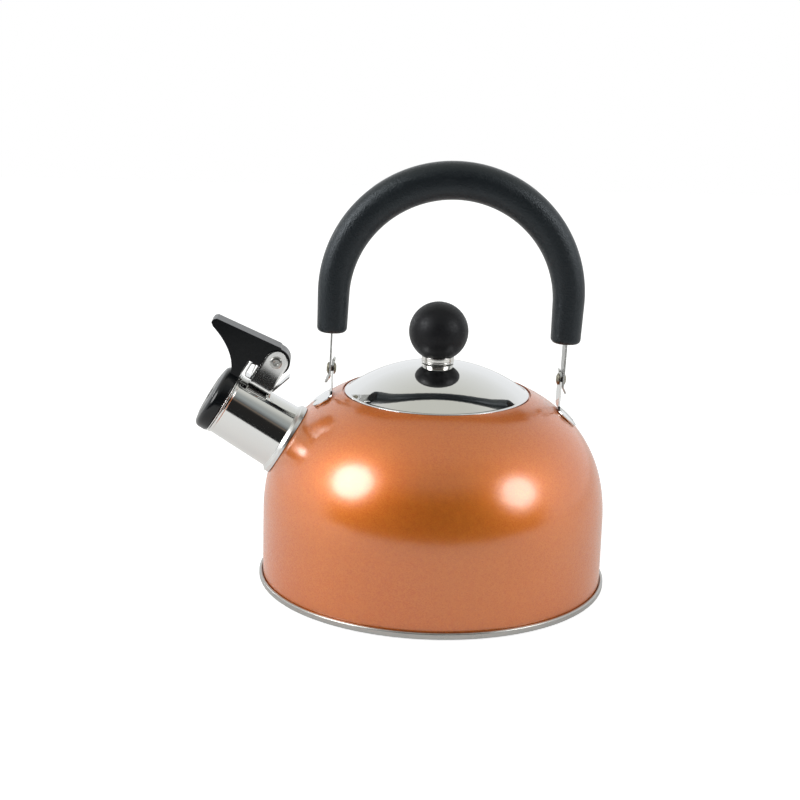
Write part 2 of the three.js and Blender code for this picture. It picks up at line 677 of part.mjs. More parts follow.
function handleRivet(side) {
  const inner = -(FIT / 2 + HANDLE_EAR_T + FIT);
  const outer = FIT / 2 + STRAP_T + FIT;
  const flatR = RIVET_HEAD_R - RIVET_HEAD_ROUND;
  const profile = [
    [0, inner - RIVET_HEAD_T],
    [flatR, inner - RIVET_HEAD_T],
    [RIVET_HEAD_R, inner - RIVET_HEAD_EDGE],
    [RIVET_HEAD_R, inner],
    [RIVET_R, inner],
    [RIVET_R, outer],
    [RIVET_HEAD_R, outer],
    [RIVET_HEAD_R, outer + RIVET_HEAD_EDGE],
    [flatR, outer + RIVET_HEAD_T],
    [0, outer + RIVET_HEAD_T],
  ];
  return solid(turned(profile, SMALL_SIDES).rotateY((side * Math.PI) / 2).translate(side * HINGE_HALF, 0, 0));
}

// The strap's middle line: a flared tail, a leg, the arch, and the same down the other side.
function strapPath(tail) {
  const leg = [[STRAP_X + TAIL_OUT, -tail], [STRAP_X, -BEND_START]];
  const over = arc(0, LEG_H, STRAP_X, 0, Math.PI, STRAP_ARC_STEPS);
  return [...leg, ...over, ...leg.map(([x, z]) => [-x, z]).reverse()];
}

function handleStrap() {
  const bent = solid(plate(strip(strapPath(STRAP_TAIL), STRAP_T), STRAP_W));
  const round = roundEnd(STRAP_W / 2, STRAP_TAIL - STRAP_W / 2, CUT_WIDE / 2, 1);
  return bent.intersect(round).subtract(rivetHole());
}

// Stations along the grip's middle line: [x, z, outward angle, distance along].
function gripStations() {
  const leg = LEG_H - GRIP_START;
  const up = [0, 0.3, 0.9, GRIP_ROUND, leg / 2].map((d) => [STRAP_X, GRIP_START + d, 0, d]);
  const over = arc(0, LEG_H, STRAP_X, 0, Math.PI, GRIP_ARC_STEPS).map(([x, z], i) => {
    const angle = (Math.PI * i) / GRIP_ARC_STEPS;
    return [x, z, angle, leg + angle * STRAP_X];
  });
  const total = 2 * leg + Math.PI * STRAP_X;
  const down = up.map(([x, z, , d]) => [-x, z, Math.PI, total - d]).reverse();
  return [...up, ...over, ...down].map((station) => [...station, total]);
}

// The grip: superellipse rings along the arch, thickest at the top, with rounded ends, round the strap.
function handleGrip() {
  const positions = [];
  const stations = gripStations();
  for (const [x, z, angle, along, total] of stations) {
    const swell = Math.sin((Math.PI * along) / total) ** 1.2 || 0;
    const fromEnd = Math.min(along, total - along, GRIP_ROUND);
    const pull = GRIP_ROUND - Math.sqrt(GRIP_ROUND ** 2 - (GRIP_ROUND - fromEnd) ** 2);
    const across = GRIP_END_HALF + (GRIP_TOP_HALF - GRIP_END_HALF) * swell - pull;
    const depth = GRIP_DEPTH_END + (GRIP_DEPTH_TOP - GRIP_DEPTH_END) * swell - pull;
    for (let k = 0; k < GRIP_SIDES; k++) {
      const turn = (2 * Math.PI * k) / GRIP_SIDES;
      const [c, s] = [Math.cos(turn), Math.sin(turn)];
      const out = across * Math.sign(c) * Math.abs(c) ** (2 / GRIP_POWER);
      const side = depth * Math.sign(s) * Math.abs(s) ** (2 / GRIP_POWER);
      positions.push(x + out * Math.cos(angle), side, z + out * Math.sin(angle));
    }
  }
  const last = stations.length - 1;
  for (const [x, z] of [stations[0], stations[last]]) positions.push(x, 0, z);
  const start = GRIP_SIDES * stations.length;
  const faces = [];
  for (let k = 0; k < GRIP_SIDES; k++) {
    const next = (k + 1) % GRIP_SIDES;
    faces.push(start, next, k);
    faces.push(start + 1, last * GRIP_SIDES + k, last * GRIP_SIDES + next);
    for (let i = 0; i < last; i++) {
      const [a, b] = [i * GRIP_SIDES + k, i * GRIP_SIDES + next];
      faces.push(a, b, b + GRIP_SIDES, a, b + GRIP_SIDES, a + GRIP_SIDES);
    }
  }
  const skin = new THREE.BufferGeometry();
  skin.setAttribute("position", new THREE.Float32BufferAttribute(positions, 3));
  skin.setIndex(faces);
  const channel = plate(strip(strapPath(0), STRAP_T + 2 * CHANNEL_GAP), STRAP_W + 2 * CHANNEL_GAP);
  return solid(skin).subtract(solid(channel));
}

// ---- assembly ------------------------------------------------------------------------------------

function place(frame, ...pieces) {
  const group = new THREE.Group();
  group.applyMatrix4(frame);
  group.add(...pieces);
  return group;
}

const kettle = new THREE.Group();
kettle.add(
  piece("body_shell", bodyShell(), COPPER_PAINT),
  piece("base_pan", basePan(), SATIN_STEEL),
  piece("handle_ear_left", handleEar(-1), MIRROR_STEEL),
  piece("handle_ear_right", handleEar(1), MIRROR_STEEL),
  piece("lid_dome", lidDome(), MIRROR_STEEL),
  piece("lid_skirt", lidSkirt(), SATIN_STEEL),
  piece("knob_collar", knobCollar(), MIRROR_STEEL),
  piece("knob_ball", knobBall(), BLACK_SATIN),
  piece("knob_insert", knobInsert(), BRASS),
  piece("knob_washer", knobWasher(), SATIN_STEEL),
  piece("knob_screw", knobScrew(), SATIN_STEEL),
  place(spoutFrame,
    piece("spout_tube", spoutTube(), MIRROR_STEEL),
    piece("whistle_bracket", whistleBracket(), MIRROR_STEEL),
    piece("leaf_spring", leafSpring(), MIRROR_STEEL),
    piece("whistle_pin", whistlePin(), SATIN_STEEL),
    piece("whistle_lever", whistleLever(), BLACK_GLOSS),
    piece("whistle_plate", whistlePlate(), MIRROR_STEEL),
    piece("whistle_cup", whistleCup(), SATIN_STEEL)),
  place(hingeFrame,
    piece("handle_rivet_left", handleRivet(-1), SATIN_STEEL),
    piece("handle_rivet_right", handleRivet(1), SATIN_STEEL),
    piece("handle_strap", handleStrap(), SATIN_STEEL),
    piece("handle_grip", handleGrip(), GRIP_BLACK)),
);

export default kettle;
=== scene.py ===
"""Looks of a stovetop whistling kettle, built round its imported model.

The origin is the middle of the base's underside, +Z is up, the spout points to -X and the handle swings
about a line along X. Fields of the classes are in millimetres; meshes are in metres. Every new surface is
a grid of points worked out with numpy: a profile turned about an axis, or a row of points carried along a
path.
"""
import logging
import math
from dataclasses import dataclass
from enum import Enum

import bmesh
import bpy
import numpy as np
from mathutils import Matrix, Vector


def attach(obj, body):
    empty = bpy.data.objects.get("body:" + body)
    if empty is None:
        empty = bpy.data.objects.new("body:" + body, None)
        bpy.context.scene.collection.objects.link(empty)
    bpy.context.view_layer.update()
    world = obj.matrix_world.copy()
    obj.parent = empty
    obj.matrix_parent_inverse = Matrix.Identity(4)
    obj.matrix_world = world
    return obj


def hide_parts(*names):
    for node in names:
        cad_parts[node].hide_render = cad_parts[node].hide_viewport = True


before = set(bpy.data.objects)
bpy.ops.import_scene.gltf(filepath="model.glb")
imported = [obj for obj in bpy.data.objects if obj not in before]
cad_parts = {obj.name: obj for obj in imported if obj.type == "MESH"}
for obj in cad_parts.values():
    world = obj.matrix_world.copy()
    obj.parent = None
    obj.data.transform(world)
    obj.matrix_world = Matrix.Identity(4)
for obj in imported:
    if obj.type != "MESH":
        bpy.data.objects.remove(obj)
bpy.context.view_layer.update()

LOG = logging.getLogger("kettle")
MM = 0.001
FIT = 0.3
SHEET = 0.6
SHARP_EDGE = 50.0


class Body(Enum):
    """The bodies that pieces ride on."""

    KETTLE = "kettle_body"
    WHISTLE = "whistle"
    LID = "lid"
    HANDLE = "handle"


# ---- surfaces -----------------------------------------------------------------------------------


def grid_faces(rows: int, columns: int, wrap_rows: bool, wrap_columns: bool) -> np.ndarray:
    """Quads of a grid of points numbered row by row.

    Args:
        rows: Number of rows.
        columns: Points in a row.
        wrap_rows: Whether the last row joins the first.
        wrap_columns: Whether the last column joins the first.

    Returns:
        One row of four point numbers for each quad.
    """
    r = np.arange(rows if wrap_rows else rows - 1)[:, None]
    c = np.arange(columns if wrap_columns else columns - 1)[None, :]
    here, below = r * columns, ((r + 1) % rows) * columns
    right = (c + 1) % columns
    return np.stack([here + c, here + right, below + right, below + c], -1).reshape(-1, 4)


def new_piece(
    name: str, points: np.ndarray, faces: list[list[int]], sharp_degrees: float
) -> bpy.types.Object:
    """A cleaned, smoothly shaded object from points in millimetres and the point numbers of its faces."""
    mesh = bpy.data.meshes.new(name)
    mesh.from_pydata((points * MM).tolist(), [], faces)
    piece = bpy.data.objects.new(name, mesh)
    bpy.context.scene.collection.objects.link(piece)
    tidy(mesh)
    smooth(mesh, sharp_degrees)
    return piece


def surface(
    name: str,
    points: np.ndarray,
    wrap_rows: bool = False,
    wrap_columns: bool = False,
    sharp_degrees: float = 40.0,
) -> bpy.types.Object:
    """A smooth object from a grid of points in millimetres, its doubles merged and its faces outward.

    Args:
        name: Name of the object.
        points: Array of rows by columns by three.
        wrap_rows: Whether the last row joins the first.
        wrap_columns: Whether the last column joins the first.
        sharp_degrees: Edges that turn by more than this stay sharp.

    Returns:
        The object, at the origin.
    """
    faces = grid_faces(*points.shape[:2], wrap_rows, wrap_columns)
    return new_piece(name, points.reshape(-1, 3), faces.tolist(), sharp_degrees)


def tidy(mesh: bpy.types.Mesh) -> None:
    """Merges points that coincide, drops collapsed faces and turns the faces outward."""
    work = bmesh.new()
    work.from_mesh(mesh)
    bmesh.ops.remove_doubles(work, verts=work.verts, dist=1e-6)
    bmesh.ops.dissolve_degenerate(work, edges=work.edges, dist=1e-7)
    bmesh.ops.recalc_face_normals(work, faces=work.faces)
    work.to_mesh(mesh)
    work.free()


def smooth(mesh: bpy.types.Mesh, sharp_degrees: float) -> None:
    """Shades a mesh smooth, with edges over the given angle kept sharp."""
    mesh.polygons.foreach_set("use_smooth", np.ones(len(mesh.polygons), bool))
    mesh.set_sharp_from_angle(angle=math.radians(sharp_degrees))


def rounded(corners: list[tuple[float, float, float]], closed: bool = True, steps: int = 6) -> np.ndarray:
    """A line of points through corners, each corner rounded to its own radius.

    The arc at a corner P between tangent points S and E is the rational quadratic
    ((1-t)^2 S + 2 w t (1-t) P + t^2 E) / ((1-t)^2 + 2 w t (1-t) + t^2), a circle when w is the sine of
    half the corner's angle.

    Args:
        corners: Corner positions with the radius of each.
        closed: Whether the line returns to its start; if not, its ends stay sharp.
        steps: Points on each arc.

    Returns:
        Array of points, two columns.
    """
    table = np.array(corners, float)
    points, radius = table[:, :2], table[:, 2].copy()
    if not closed:
        radius[[0, -1]] = 0
    back, ahead = np.roll(points, 1, 0) - points, np.roll(points, -1, 0) - points
    back_length = np.linalg.norm(back, axis=1) + 1e-12
    ahead_length = np.linalg.norm(ahead, axis=1) + 1e-12
    back, ahead = back / back_length[:, None], ahead / ahead_length[:, None]
    half = 0.5 * np.arccos(np.clip((back * ahead).sum(1), -1, 1))
    reach = np.minimum(radius / np.tan(np.maximum(half, 1e-3)), 0.49 * np.minimum(back_length, ahead_length))
    start, end = points + back * reach[:, None], points + ahead * reach[:, None]
    weight = np.sin(half)[:, None, None]
    t = np.linspace(0, 1, steps)[None, :, None]
    a, b, c = (1 - t) ** 2, 2 * weight * t * (1 - t), t**2
    arcs = (a * start[:, None] + b * points[:, None] + c * end[:, None]) / (a + b + c)
    return arcs.reshape(-1, 2)


def revolve(
    name: str,
    profile: np.ndarray,
    sides: int,
    place: np.ndarray | None = None,
    closed: bool = True,
) -> bpy.types.Object:
    """A profile turned about Z: each point (r, z) becomes the circle (r cos t, r sin t, z).

    Args:
        name: Name of the object.
        profile: Radius and height of each point.
        sides: Points round the circle.
        place: Four-by-four matrix that places the result, in millimetres.
        closed: Whether the profile returns to its start; if not, it starts and ends on the axis.

    Returns:
        The object.
    """
    turn = 2 * np.pi * np.arange(sides) / sides
    r, z = profile[:, 0, None], profile[:, 1, None]
    points = np.stack([r * np.cos(turn), r * np.sin(turn), z + 0 * turn], -1)
    if place is not None:
        points = moved(points, place)
    return surface(name, points, closed, True)


def ribbon(
    name: str, middle: np.ndarray, across: np.ndarray, half: np.ndarray, columns: int
) -> bpy.types.Object:
    """A strip of sheet: each row is the middle point m plus v h across, with v from -1 to 1.

    Args:
        name: Name of the object.
        middle: Middle line, one row of three for each row of the strip.
        across: Unit direction across the strip.
        half: Half width h at each row.
        columns: Points across.

    Returns:
        The strip, with no thickness yet.
    """
    v = np.linspace(-1, 1, columns)[None, :, None]
    return surface(name, middle[:, None] + v * half[:, None, None] * across)


def thicken(piece: bpy.types.Object, thickness: float, edge: float) -> bpy.types.Object:
    """Gives a sheet its thickness about its middle and rounds its cut edges.

    Args:
        piece: The sheet.
        thickness: Sheet thickness.
        edge: Radius of the rounded edges.

    Returns:
        The same object.
    """
    solid = piece.modifiers.new("sheet", "SOLIDIFY")
    solid.thickness = thickness * MM
    solid.offset = 0
    solid.use_even_offset = True
    soften(piece, edge, 2)
    return piece


def soften(piece: bpy.types.Object, edge: float, segments: int) -> None:
    """Rounds every edge of a piece that turns sharply, with a number of faces across each."""
    bevel = piece.modifiers.new("edge", "BEVEL")
    bevel.width = edge * MM
    bevel.segments = segments
    bevel.limit_method = "ANGLE"
    bevel.angle_limit = math.radians(SHARP_EDGE)
    bevel.harden_normals = False


def slab(name: str, outline: np.ndarray, width: float, place: np.ndarray, edge: float) -> bpy.types.Object:
    """A closed outline in the XZ plane made width thick along Y, with rounded edges.

    Args:
        name: Name of the object.
        outline: Points of the outline.
        width: Thickness along Y.
        place: Four-by-four matrix that places the result.
        edge: Radius of the rounded edges.

    Returns:
        The object.
    """
    keep = np.linalg.norm(outline - np.roll(outline, 1, 0), axis=1) > 1e-4
    line = outline[keep]
    count = len(line)
    sides = [np.column_stack([line[:, 0], np.full(count, y), line[:, 1]]) for y in (-width / 2, width / 2)]
    points = moved(np.concatenate(sides), place)
    k = np.arange(count)
    walls = np.stack([k, (k + 1) % count, (k + 1) % count + count, k + count], -1).tolist()
    piece = new_piece(name, points, [k.tolist(), (k + count).tolist(), *walls], 30)
    soften(piece, edge, 4)
    return piece


def moved(points: np.ndarray, place: np.ndarray) -> np.ndarray:
    """Points turned and shifted by a four-by-four matrix."""
    return points @ place[:3, :3].T + place[:3, 3]


def frame_matrix(origin: tuple[float, float, float], turn_y: float) -> np.ndarray:
    """The matrix that turns by an angle about Y and moves to an origin, as an array."""
    return np.array(Matrix.Translation(origin) @ Matrix.Rotation(turn_y, 4, "Y"))


def dress(piece: bpy.types.Object, finish: bpy.types.Material, slot: str, body: Body, *nodes: str) -> None:
    """Gives a piece its finish and its body, and lets it stand for CAD nodes.

    Args:
        piece: The piece.
        finish: Its material.
        slot: Name of the piece's material slot; not used.
        body: The body that it rides on.
        nodes: CAD nodes that it replaces.
    """
    piece.data.materials.clear()
    piece.data.materials.append(finish)
    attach(piece, body.value)
    if nodes:
        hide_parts(*nodes)
    LOG.info("%s rides on %s", piece.name, body.value)


# ---- finishes -----------------------------------------------------------------------------------


class Graph:
    """A material's nodes, with short calls to add and join them."""

    def __init__(self, name: str) -> None:
        """Starts a material with its shader and object coordinates."""
        self.material = bpy.data.materials.new(name)
        self.material.use_nodes = True
        self.nodes = self.material.node_tree.nodes
        self.shader = self.nodes["Principled BSDF"]
        self.place = self.nodes.new("ShaderNodeTexCoord").outputs["Object"]

    def set(self, **values: float | tuple) -> None:
        """Sets the shader's own sockets, with underscores for spaces."""
        for key, value in values.items():
            self.shader.inputs[key.replace("_", " ")].default_value = value

    def join(self, source: bpy.types.NodeSocket, target: bpy.types.NodeSocket) -> None:
        """Joins an output to an input."""
        self.material.node_tree.links.new(source, target)

    def noise(
        self, scale: float, detail: float = 2.0, rough: float = 0.5, at: object = None
    ) -> bpy.types.Node:
        """A noise texture on object coordinates, or on the socket given."""
        node = self.nodes.new("ShaderNodeTexNoise")
        node.inputs["Scale"].default_value = scale
        node.inputs["Detail"].default_value = detail
        node.inputs["Roughness"].default_value = rough
        self.join(at or self.place, node.inputs["Vector"])
        return node

    def cells(self, scale: float, feature: str = "F1") -> bpy.types.Node:
        """A Voronoi texture on object coordinates."""
        node = self.nodes.new("ShaderNodeTexVoronoi")
        node.feature = feature
        node.inputs["Scale"].default_value = scale
        self.join(self.place, node.inputs["Vector"])
        return node

    def ramp(self, source: bpy.types.NodeSocket, low: float, high: float, to: tuple[float, float]) -> object:
        """A value mapped from one range to another and held at its ends."""
        node = self.nodes.new("ShaderNodeMapRange")
        for key, value in zip(("From Min", "From Max", "To Min", "To Max"), (low, high, *to)):
            node.inputs[key].default_value = value
        self.join(source, node.inputs["Value"])
        return node.outputs["Result"]

    def math(self, kind: str, first: object, second: object) -> object:
        """A math node on two sockets or numbers."""
        node = self.nodes.new("ShaderNodeMath")
        node.operation = kind
        for socket, value in zip(node.inputs, (first, second)):
            if isinstance(value, (int, float)):
                socket.default_value = value
            else:
                self.join(value, socket)
        return node.outputs["Value"]

    def blend(self, amount: object, first: tuple, second: tuple) -> object:
        """A colour between two, by an amount from 0 to 1."""
        node = self.nodes.new("ShaderNodeMix")
        node.data_type = "RGBA"
        node.inputs[6].default_value = (*first, 1)
        node.inputs[7].default_value = (*second, 1)
        self.join(amount, node.inputs[0])
        return node.outputs[2]

    def bump(self, height: object, depth: float, strength: float, below: object = None) -> object:
        """A bump from a height socket, stacked on another bump if one is given."""
        node = self.nodes.new("ShaderNodeBump")
        node.inputs["Strength"].default_value = strength
        node.inputs["Distance"].default_value = depth
        self.join(height, node.inputs["Height"])
        if below is not None:
            self.join(below, node.inputs["Normal"])
        return node.outputs["Normal"]

    def weighted(self, first: object, share: float, second: object, other: float) -> object:
        """The sum of two values, each times its own weight."""
        return self.math("ADD", self.math("MULTIPLY", first, share), self.math("MULTIPLY", second, other))

    def round_z(self) -> object:
        """A vector of distance from the Z axis and height, so a texture on it makes rings."""
        split = self.nodes.new("ShaderNodeSeparateXYZ")
        self.join(self.place, split.inputs[0])
        x, y, z = split.outputs
        squares = self.math("ADD", self.math("MULTIPLY", x, x), self.math("MULTIPLY", y, y))
        merge = self.nodes.new("ShaderNodeCombineXYZ")
        self.join(self.math("SQRT", squares, 0.0), merge.inputs[0])
        self.join(z, merge.inputs[2])
        return merge.outputs[0]

    def colour(self, source: object) -> None:
        """Joins a colour to the shader's base colour."""
        self.join(source, self.shader.inputs["Base Color"])

    def rough(self, source: object) -> None:
        """Joins a value to the shader's roughness."""
        self.join(source, self.shader.inputs["Roughness"])

    def normal(self, source: object) -> None:
        """Joins a bump to the shader's normal."""
        self.join(source, self.shader.inputs["Normal"])


@dataclass(frozen=True)
class CopperPaint:
    """Metallic copper paint: fine flakes under a clear coat, with a faint orange-peel ripple."""

    light: tuple[float, float, float] = (0.77, 0.244, 0.024)
    deep: tuple[float, float, float] = (0.61, 0.112, 0.005)
    metal: float = 0.80
    flake_cells: float = 1900.0
    peel_scale: float = 260.0

    def material(self) -> bpy.types.Material:
        """Builds the paint: cell colour drives the flakes' shade, roughness and tilt."""
        g = Graph("copper_paint")
        g.set(Metallic=self.metal, Coat_Weight=1.0, Coat_Roughness=0.18, Coat_IOR=1.86)
        flakes = g.cells(self.flake_cells)
        sparkle = g.nodes.new("ShaderNodeSeparateColor")
        g.join(flakes.outputs["Color"], sparkle.inputs[0])
        cloud = g.noise(14.0, 3.0)
        mixed = g.weighted(sparkle.outputs[0], 0.4, cloud.outputs[0], 0.5)
        g.colour(g.blend(mixed, self.deep, self.light))
        g.rough(g.ramp(sparkle.outputs[1], 0, 1, (0.40, 0.60)))
        peel = g.bump(g.noise(self.peel_scale, 1.0).outputs[0], 0.0004, 0.04)
        g.normal(g.bump(sparkle.outputs[2], 0.0004, 0.32, peel))
        g.join(peel, g.shader.inputs["Coat Normal"])
        return g.material


@dataclass(frozen=True)
class PolishedSteel:
    """Mirror-polished stainless sheet, slightly wavy, with fine wiping marks."""

    name: str = "mirror_steel"
    tint: tuple[float, float, float] = (0.80, 0.80, 0.79)
    roughness: tuple[float, float] = (0.02, 0.06)
    wave: float = 0.04
    axis: tuple[float, float, float] = (0.0, 0.0, 1.0)
    pressed_to: float = -1.0
    pressed_rough: float = 0.22
    fade: float = 0.0004

    def material(self) -> bpy.types.Material:
        """Builds the finish: waves in the bump, smears in the roughness, duller where pressed."""
        g = Graph(self.name)
        g.set(Metallic=1.0, IOR=2.2)
        smear = g.noise(55.0, 5.0, 0.65)
        along = g.nodes.new("ShaderNodeVectorMath")
        along.operation = "DOT_PRODUCT"
        along.inputs[1].default_value = self.axis
        g.join(g.place, along.inputs[0])
        low, high = self.pressed_to - self.fade, self.pressed_to + self.fade
        dull = g.ramp(along.outputs["Value"], low, high, (self.pressed_rough, 0))
        g.rough(g.math("ADD", dull, g.ramp(smear.outputs[0], 0.3, 0.75, self.roughness)))
        shade = tuple(0.93 * v for v in self.tint)
        g.colour(g.blend(g.noise(20.0, 4.0).outputs[0], shade, self.tint))
        wave = g.bump(g.noise(26.0, 1.0).outputs[0], 0.002, self.wave)
        g.normal(g.bump(g.noise(900.0, 2.0).outputs[0], 0.00005, 0.08, wave))
        return g.material


@dataclass(frozen=True)
class SpunSteel:
    """Satin stainless steel with rings left by spinning about the kettle's axis."""

    name: str = "satin_steel"
    tint: tuple[float, float, float] = (0.51, 0.51, 0.49)
    roughness: tuple[float, float] = (0.22, 0.38)
    rings: float = 2600.0

    def material(self) -> bpy.types.Material:
        """Builds the finish: noise on distance from the axis and height gives the rings."""
        g = Graph(self.name)
        g.set(Metallic=1.0, IOR=2.2)
        ring = g.noise(self.rings, 2.0, 0.6, at=g.round_z())
        spots = g.noise(70.0, 5.0, 0.6)
        g.rough(g.ramp(g.weighted(ring.outputs[0], 0.5, spots.outputs[0], 0.5), 0.3, 0.7, self.roughness))
        g.colour(g.blend(spots.outputs[0], tuple(0.82 * v for v in self.tint), self.tint))
        g.normal(g.bump(ring.outputs[0], 0.00008, 0.25, g.bump(spots.outputs[0], 0.0005, 0.05)))
        return g.material


@dataclass(frozen=True)
class Plastic:
    """Moulded black plastic with a grain of its own size and a coat of its own gloss."""

    name: str
    base: tuple[float, float, float]
    edge: tuple[float, float, float]
    roughness: tuple[float, float]
    grain: float
    grain_depth: float
    grain_strength: float
    specular: float = 0.5
    sheen: tuple[float, float, float] = (1.0, 1.0, 1.0)
    smudge: float = 0.0

    def material(self) -> bpy.types.Material:
        """Builds the finish: cells and noise make the grain, broad noises the shade and the touch marks."""
        g = Graph(self.name)
        g.set(Specular_IOR_Level=self.specular, IOR=1.5, Specular_Tint=(*self.sheen, 1))
        grain = g.noise(self.grain, 3.0, 0.6)
        pebble = g.cells(self.grain * 0.8, "SMOOTH_F1")
        broad = g.noise(30.0, 3.0)
        g.colour(g.blend(g.ramp(broad.outputs[0], 0.3, 0.7, (0, 1)), self.base, self.edge))
        touch = g.ramp(g.noise(75.0, 6.0, 0.7).outputs[0], 0.42, 0.66, (0, self.smudge))
        g.rough(g.math("ADD", g.ramp(grain.outputs[0], 0.3, 0.7, self.roughness), touch))
        height = g.math("ADD", grain.outputs[0], pebble.outputs[0])
        g.normal(g.bump(height, self.grain_depth, self.grain_strength, g.bump(broad.outputs[0], 0.001, 0.03)))
        return g.material


@dataclass(frozen=True)
class WornSteel:
    """Plain steel of the rivets and the strap: dull, slightly stained and pitted."""

    name: str
    tint: tuple[float, float, float]
    stain: tuple[float, float, float]
    roughness: tuple[float, float] = (0.25, 0.5)

    def material(self) -> bpy.types.Material:
        """Builds the finish: patchy stain in colour and roughness, small pits in the bump."""
        g = Graph(self.name)
        g.set(Metallic=1.0, IOR=2.0)
        patch = g.noise(420.0, 4.0, 0.6)
        g.colour(g.blend(g.ramp(patch.outputs[0], 0.35, 0.65, (0, 1)), self.stain, self.tint))
        g.rough(g.ramp(patch.outputs[0], 0.3, 0.7, (self.roughness[1], self.roughness[0])))
        g.normal(g.bump(g.noise(1500.0, 3.0).outputs[0], 0.0001, 0.25))
        return g.material


class Finishes:
    """Every finish of the kettle, built once."""

    def __init__(self, spout: "Spout") -> None:
        """Builds the materials; the spout's steel is duller where its root was pressed."""
        self.paint = CopperPaint().material()
        self.mirror = PolishedSteel().material()
        self.drawn = PolishedSteel("drawn_steel", (0.80, 0.80, 0.785), (0.06, 0.12), 0.02,
                                   spout.axis(), spout.along(3.4)).material()
        self.collar = PolishedSteel("turned_steel", (0.78, 0.77, 0.74), (0.14, 0.22)).material()
        self.brushed = PolishedSteel("brushed_steel", (0.86, 0.86, 0.85), (0.14, 0.24), 0.05).material()
        self.satin = SpunSteel().material()
        self.gloss = Plastic("black_gloss", (0.002, 0.003, 0.004), (0.004, 0.005, 0.006), (0.12, 0.20),
                             500.0, 0.0001, 0.05, 0.22).material()
        self.cap = Plastic("black_cap", (0.003, 0.004, 0.005), (0.005, 0.006, 0.007), (0.13, 0.22),
                           500.0, 0.0001, 0.05, 0.40).material()
        self.knob = Plastic("black_satin", (0.004, 0.004, 0.005), (0.007, 0.007, 0.008), (0.34, 0.52),
                            900.0, 0.0002, 0.20, 0.26, (0.94, 0.96, 1.0), 0.14).material()
        self.grip = Plastic("grip_black", (0.003, 0.005, 0.007), (0.005, 0.008, 0.010), (0.27, 0.38),
                            1900.0, 0.0004, 0.42, 0.54, (0.86, 0.94, 1.0), 0.06).material()
        self.rivet = WornSteel("rivet_steel", (0.42, 0.40, 0.33), (0.24, 0.22, 0.16)).material()
        self.strap = WornSteel("strap_steel", (0.55, 0.55, 0.54), (0.38, 0.38, 0.36), (0.16, 0.32)).material()
        self.brass = WornSteel("turned_brass", (0.62, 0.44, 0.17), (0.5, 0.34, 0.12)).material()


# ---- body ---------------------------------------------------------------------------------------


@dataclass
class Shell:
    """The painted shell: a straight wall, a superellipse shoulder, and the lid's seat in its mouth."""

    radius: float = 88.07
    wall_top: float = 35.16
    shoulder: float = 73.38
    power: float = 2.3
    mouth: float = 48.25
    ledge_drop: float = 1.3
    ledge_width: float = 4.2
    draft: float = 0.2
    neck: float = 5.0
    edge_z: float = 1.9
    sides: int = 288
    port: float = 15.55
    port_reach: tuple[float, float] = (-25.0, 15.0)

    def rise(self, share: np.ndarray) -> np.ndarray:
        """Height share of the shoulder at a radius share, (1 - s^n)^(1/n)."""
        return (1 - share**self.power) ** (1 / self.power)

    def z_at(self, r: np.ndarray, grow: float = 0.0) -> np.ndarray:
        """Height of the shoulder, grown outward by some thickness, at a radius."""
        return self.wall_top + (self.shoulder + grow) * self.rise(r / (self.radius + grow))

    def r_at(self, z: float) -> float:
        """Radius of the shoulder at a height."""
        return self.radius * self.rise((z - self.wall_top) / self.shoulder)

    def neck_radius(self) -> float:
        """Radius of the turned-down neck inside the lid's seat."""
        return self.mouth - self.draft - self.ledge_width

    def shoulder_line(self, grow: float, to_radius: float, steps: int) -> np.ndarray:
        """Shoulder points (R cos^p a, z0 + H sin^p a), p = 2/n, from the wall in to a radius."""
        r, h = self.radius + grow, self.shoulder + grow
        angle = np.linspace(0, math.acos((to_radius / r) ** (self.power / 2)), steps)
        p = 2 / self.power
        return np.column_stack([r * np.cos(angle) ** p, self.wall_top + h * np.sin(angle) ** p])

    def profile(self) -> np.ndarray:
        """The closed section of the sheet, up the outside, round the seat and down the inside."""
        lip = float(self.z_at(self.mouth))
        ledge = lip - self.ledge_drop
        neck = self.neck_radius()
        seat = rounded([
            (self.mouth, lip, 0), (self.mouth - self.draft, ledge, 0.3), (neck, ledge, 0.6),
            (neck, ledge - self.neck, 0.2), (neck + SHEET, ledge - self.neck, 0.2),
            (neck + SHEET, ledge - SHEET, 0.3), (self.mouth + SHEET - self.draft, ledge - SHEET, 0.3),
            (self.mouth + SHEET, lip - 0.75, 0)], closed=False)
        foot = np.array([[self.radius - SHEET, self.edge_z], [self.radius, self.edge_z]])
        outer = self.shoulder_line(0, self.mouth + 0.25, 90)
        inner = self.shoulder_line(-SHEET, self.mouth + SHEET, 60)[::-1]
        return np.concatenate([foot[1:], outer, seat[5:-5], inner, foot[:1]])

    def build(self, finishes: Finishes, spout: "Spout") -> None:
        """Builds the shell with the port that opens into the spout.

        Args:
            finishes: The kettle's finishes.
            spout: The spout, whose axis the port follows.
        """
        skin = revolve("shell_skin", self.profile(), self.sides)
        low, high = self.port_reach
        bit = np.array([[0, low], [self.port, low], [self.port, high], [0, high]])
        drill = revolve("port_drill", bit, 96, spout.place(), closed=False)
        cut = skin.modifiers.new("port", "BOOLEAN")
        cut.object, cut.operation, cut.solver = drill, "DIFFERENCE", "EXACT"
        graph = bpy.context.evaluated_depsgraph_get()
        skin.data = bpy.data.meshes.new_from_object(skin.evaluated_get(graph))
        skin.modifiers.clear()
        bpy.data.objects.remove(drill)
        smooth(skin.data, 40)
        dress(skin, finishes.paint, "copper_paint", Body.KETTLE, "body_shell")


